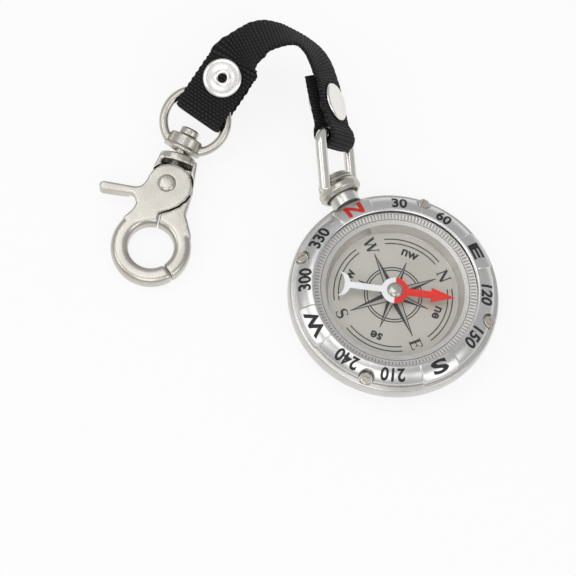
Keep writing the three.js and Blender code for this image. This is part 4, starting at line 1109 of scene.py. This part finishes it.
def makeStrap():
    # a flat section with round edges carried along the line; ribs stand across it, edges are scalloped
    s = strapSizes
    line, width = strapLine()
    run = runAlong(line)
    rows = int(run[-1] / s["rowStep"])
    u = np.linspace(0, run[-1], rows)
    centre, across = sampled(line, run, u), unit(sampled(width, run, u))
    along = unit(np.gradient(centre, u, axis=0))
    up = unit(np.cross(along, across))
    across = unit(np.cross(up, along))
    share = np.sin(np.linspace(-np.pi / 2, np.pi / 2, 38))
    loop = np.concatenate([share, share[-2:0:-1]])
    face = np.concatenate([np.ones(len(share)), -np.ones(len(share) - 2)])
    v, rowU = np.meshgrid(loop, u)
    rib = weaveSizes["rib"]
    shift = 0.05 * np.sin(2 * np.pi * v * s["width"] / 2 / 2.4) + 0.12 * np.sin(rowU / 5.1) * v
    wave = np.abs(np.cos(np.pi * (rowU + shift) / rib)) ** 0.8
    thick = s["thickness"] / 2 * (1 - np.abs(v) ** 10) ** 0.5
    plump = s["ribDepth"] * (wave - 0.85) * (1 - np.abs(v) ** 8)
    bite = 0.5 - 0.5 * np.cos(np.pi * rowU / rib + 1.7 * np.sign(v))
    x = v * (s["width"] / 2 - s["scallop"] * bite * np.abs(v) ** 6)
    z = face * (thick + np.where(np.abs(v) < 1, plump, 0))
    points = centre[:, None] + across[:, None] * x[..., None] + up[:, None] * z[..., None]
    count = len(loop)
    faces = gridFaces(rows, count, False, True)
    k = np.arange(len(share) - 1)
    mirror = np.where(k == 0, 0, count - k)
    nextMirror = np.where(k + 1 == len(share) - 1, len(share) - 1, count - k - 1)
    cap = np.stack([k, k + 1, nextMirror, mirror], -1)
    faces = np.concatenate([faces, cap, cap + (rows - 1) * count])
    faces = [list(dict.fromkeys(face)) for face in faces.tolist()]  # the caps' outer faces are triangles
    mesh = bpy.data.meshes.new("strapWebbing")
    mesh.from_pydata((points.reshape(-1, 3) * mm).tolist(), [], faces)
    work = bmesh.new()
    work.from_mesh(mesh)
    bmesh.ops.recalc_face_normals(work, faces=work.faces)
    work.to_mesh(mesh)
    work.free()
    flat = np.stack([rowU, v * s["width"] / 2], -1).reshape(-1, 2)
    strapMap = mesh.uv_layers.new(name="strapMap")
    strapMap.data.foreach_set("uv", flat[meshCorners(mesh)].astype(np.float32).ravel())
    piece = addPiece("strapWebbing", mesh, blackWebbing, "strap", "webbing", ["strap"], sharp=80)
    print("strap made, cut length", round(float(run[-1]), 1))


makeStrap()


def studPlace(distance, sign):  # on the strap's line, with its Z axis out of the eyelet
    at, along, width, out = (a[0] for a in routeAt(distance))
    place = np.eye(4)
    place[:3, 0], place[:3, 2], place[:3, 3] = along, out * sign, at
    place[:3, 1] = np.cross(place[:3, 2], along)
    return place


def makeStud(end, place, half):
    # a dished cap on one side, and on the other a dished eyelet with a raised rim round its hole
    s, layer = studSizes, strapSizes["thickness"] / 2
    foot, seat = half - layer + s["lift"], half + layer + s["lift"]
    top, under = seat + s["height"], seat - s["sink"]
    tube, flange, rim = s["tube"], s["flange"], s["flange"] - 0.06
    cap = softened([
        [0, 0.28 - top], [2.6, 0.2 - top], [3.7, -top], [4.35, 0.02 - top], [flange, -seat - s["lip"]],
        [rim, -under], [tube, -under], [tube, -foot], [0, -foot],
    ], s["capRound"], 6, False)
    post = softened([
        [s["hole"], foot], [tube, foot], [tube, under], [rim, under], [flange, seat + s["lip"]],
        [4.4, top - 0.1], [3.9, top], [3.0, top - 0.04], [2.0, top - 0.16],
        [1.85, top - 0.06], [1.55, top + 0.03], [1.25, top - 0.06], [s["hole"], top - 0.5],
    ], s["eyeletRound"], 5)
    for name, profile, closed, node in (("Cap", cap, False, "cap"), ("Eyelet", post, True, "post")):
        shell = turnedShell(profile, s["sides"], place, closed)
        addShells(f"{end}Snap{name}", [shell], studMetal, "strap", "bright_metal", [f"{end}_snap_{node}"])


makeStud("eye", studPlace(strapSizes["snapAtEye"], 1), strapSizes["eyeHalf"])
makeStud("bow", studPlace(routeLength - strapSizes["snapAtBow"], -1), strapSizes["bowStudHalf"])
print("press studs made")


# the hook's castings: the solids' own skins, melted round at their edges
castSizes = dict(voxel=0.15, passes=30, ring=7.45, ringHalf=2.05, thickHalf=2.2, round=1.45,
                 bodyArc=(-41.5, 84), triggerArc=(92, 316))
# turned profiles of the rivet and of the stud that the eye turns on: radius and height
rivetProfile = [[0, -2.85], [1.6, -2.75], [2.15, -2.4], [2.15, -2.24], [1.5, -2.22], [1.5, 2.22],
                [2.15, 2.24], [2.1, 2.5], [1.65, 2.85], [0.9, 2.93], [0, 2.95]]
studProfile = [[0, -1.9], [1.25, -1.9], [1.25, 5.3], [2.3, 5.3], [2.3, 6.8], [1.9, 7.15], [0, 7.2]]


def nodeShell(name):  # a copy of a solid's points and triangles
    mesh = cadNodes[name].data
    return meshPoints(mesh) / mm, meshCorners(mesh).reshape(-1, 3)


def ringShell(start, end):
    # a section with round corners carried round part of a circle in the hook's plane
    c = castSizes
    angle = np.radians(np.linspace(start, end, 120))
    outward = np.stack([np.cos(angle), np.sin(angle), 0 * angle], -1)
    upward = np.broadcast_to([0.0, 0.0, 1.0], outward.shape)
    w, h = c["ringHalf"] - c["round"], c["thickHalf"] - c["round"]
    section = np.concatenate([arcPoints((x, y), (c["round"], c["round"]), a, a + 90, 8)
                              for x, y, a in ((w, h, 0), (-w, h, 90), (-w, -h, 180), (w, -h, 270))])
    points, faces = sweptShell(outward * c["ring"], outward, upward, section)
    return moved(points, hookPlace), faces


def castPiece(name, shells, body, stands, voxel, passes):
    # the shells are merged into one skin of even cells, then each point is drawn to its neighbours' middle
    holder = bpy.data.objects.new(name + "Raw", joinedMesh(name + "Raw", shells))
    scene.collection.objects.link(holder)
    remesh = holder.modifiers.new("skin", "REMESH")
    remesh.mode, remesh.voxel_size = "VOXEL", voxel * mm
    smooth = holder.modifiers.new("melt", "SMOOTH")
    smooth.factor, smooth.iterations = 0.5, passes
    mesh, raw = shownMesh(holder), holder.data
    bpy.data.objects.remove(holder)
    bpy.data.meshes.remove(raw)
    mesh.name = name
    print(name, "faces", len(mesh.polygons))
    addPiece(name, mesh, castMetal, body, "satin_metal", stands, sharp=180)


def makeHook():
    # the body and the trigger, each with its part of the ring, and the turned rivet between them
    c = castSizes
    bodyShells = [nodeShell("hook_body"), ringShell(*c["bodyArc"])]
    castPiece("hookBody", bodyShells, "hook", ["hook_body"], c["voxel"], c["passes"])
    triggerShells = [nodeShell("trigger"), ringShell(*c["triggerArc"])]
    castPiece("hookTrigger", triggerShells, "trigger", ["trigger"], c["voxel"], c["passes"])
    rivet = turnedShell(softened(rivetProfile, 0.35, 6, False), 96, rivetPlace, False)
    addShells("triggerRivet", [rivet], castMetal, "hook", "bright_metal", ["trigger_rivet"])


def makeEye():
    # a circle carried round a circle, melted into a turned barrel, and a headed stud through it
    e = eyeSizes
    turns, spins = 160, 32
    turn = np.linspace(0, 2 * np.pi, turns, endpoint=False)[:, None]
    spin = np.linspace(0, 2 * np.pi, spins, endpoint=False)[None]
    reach = e["radius"] + e["wire"] * np.cos(spin)
    height = e["wire"] * np.sin(spin) + 0 * turn
    ring = np.stack([reach * np.cos(turn), e["middle"] + reach * np.sin(turn), height], -1)
    rimTop = e["low"] + e["rimHigh"]
    barrel = softened([
        [e["bore"], e["low"]], [e["rim"], e["low"]], [e["rim"], rimTop],
        [e["barrel"] - 0.1, rimTop + 0.2], [e["barrel"] - 0.15, e["high"]], [e["bore"], e["high"]],
    ], e["edgeRound"], 6)
    shells = [(moved(ring.reshape(-1, 3), eyePlace), gridFaces(turns, spins, True, True)),
              turnedShell(barrel, 96, eyeAxisPlace)]
    castPiece("swivelEye", shells, "eye", ["swivel_eye"], e["voxel"], e["passes"])
    stud = turnedShell(softened(studProfile, 0.3, 5, False), 96, eyeAxisPlace, False)
    addShells("swivelStud", [stud], castMetal, "hook", "bright_metal", ["swivel_stud"])


makeHook()
makeEye()
print("hook made")


floorLook = dict(colour=(0.93, 0.93, 0.93), glowShare=0.85, reach=3.0, low=-0.0001)


def addFloor():
    # pale and matt, with a share of plain white where the camera, gloss or glass sees it
    f = floorLook
    material, tree, shader = startMaterial("paleFloor", f["colour"], 0.0, 0.9)
    shader.inputs["Specular IOR Level"].default_value = 0.1
    glow = addNode(tree, "ShaderNodeEmission")
    path = addNode(tree, "ShaderNodeLightPath")
    seen = path.outputs["Is Camera Ray"]
    for name in ("Is Glossy Ray", "Is Transmission Ray"):
        seen = combined(tree, "MAXIMUM", seen, path.outputs[name])
    share = combined(tree, "MULTIPLY", seen, f["glowShare"])
    mixedSurface(tree, share, shader.outputs["BSDF"], glow.outputs["Emission"])
    mesh = bpy.data.meshes.new("floor")
    corners = [(x * f["reach"], y * f["reach"], f["low"]) for x, y in ((-1, -1), (1, -1), (1, 1), (-1, 1))]
    mesh.from_pydata(corners, [], [(0, 1, 2, 3)])
    mesh.materials.append(material)
    floor = bpy.data.objects.new("floor", mesh)
    scene.collection.objects.link(floor)


# metres and watts: place, the point it faces, size and power
softboxes = dict(
    topSoftbox=((-0.09, 0.2, 0.75), (-0.02, 0.03, 0), (0.36, 0.5), 0.74),
    cornerSoftbox=((-0.37, -0.40, 0.65), (0, 0.02, 0), (0.5, 0.5), 1.26),
    sideSoftbox=((-0.6, 0.2, 0.57), (-0.02, 0.03, 0), (0.4, 0.4), 0.8),
    frontSoftbox=((0.24, -0.6, 0.54), (0, 0.02, 0), (0.4, 0.4), 0.8),
)
roomLight = dict(colour=(0.97, 0.98, 1.0), strength=0.55)


def addLamp(name, place, target, size, power):  # a rectangle of light turned to face its target
    data = bpy.data.lights.new(name, "AREA")
    data.shape, data.size, data.size_y, data.energy = "RECTANGLE", size[0], size[1], power
    lamp = bpy.data.objects.new(name, data)
    back = unit(np.array(place, float) - np.array(target, float))
    right = unit(np.cross((0, 0, 1), back))
    basis = np.eye(4)
    basis[:3, 0], basis[:3, 1], basis[:3, 2], basis[:3, 3] = right, np.cross(back, right), back, place
    lamp.matrix_world = Matrix(basis.tolist())
    scene.collection.objects.link(lamp)


def addWorld():  # an even, faintly cool room
    world = bpy.data.worlds.new("studio")
    world.use_nodes = True
    background = world.node_tree.nodes["Background"]
    background.inputs["Color"].default_value = (*roomLight["colour"], 1)
    background.inputs["Strength"].default_value = roomLight["strength"]
    scene.world = world


addFloor()
addWorld()
for lampName, settings in softboxes.items():
    addLamp(lampName, *settings)
print("floor and light made")
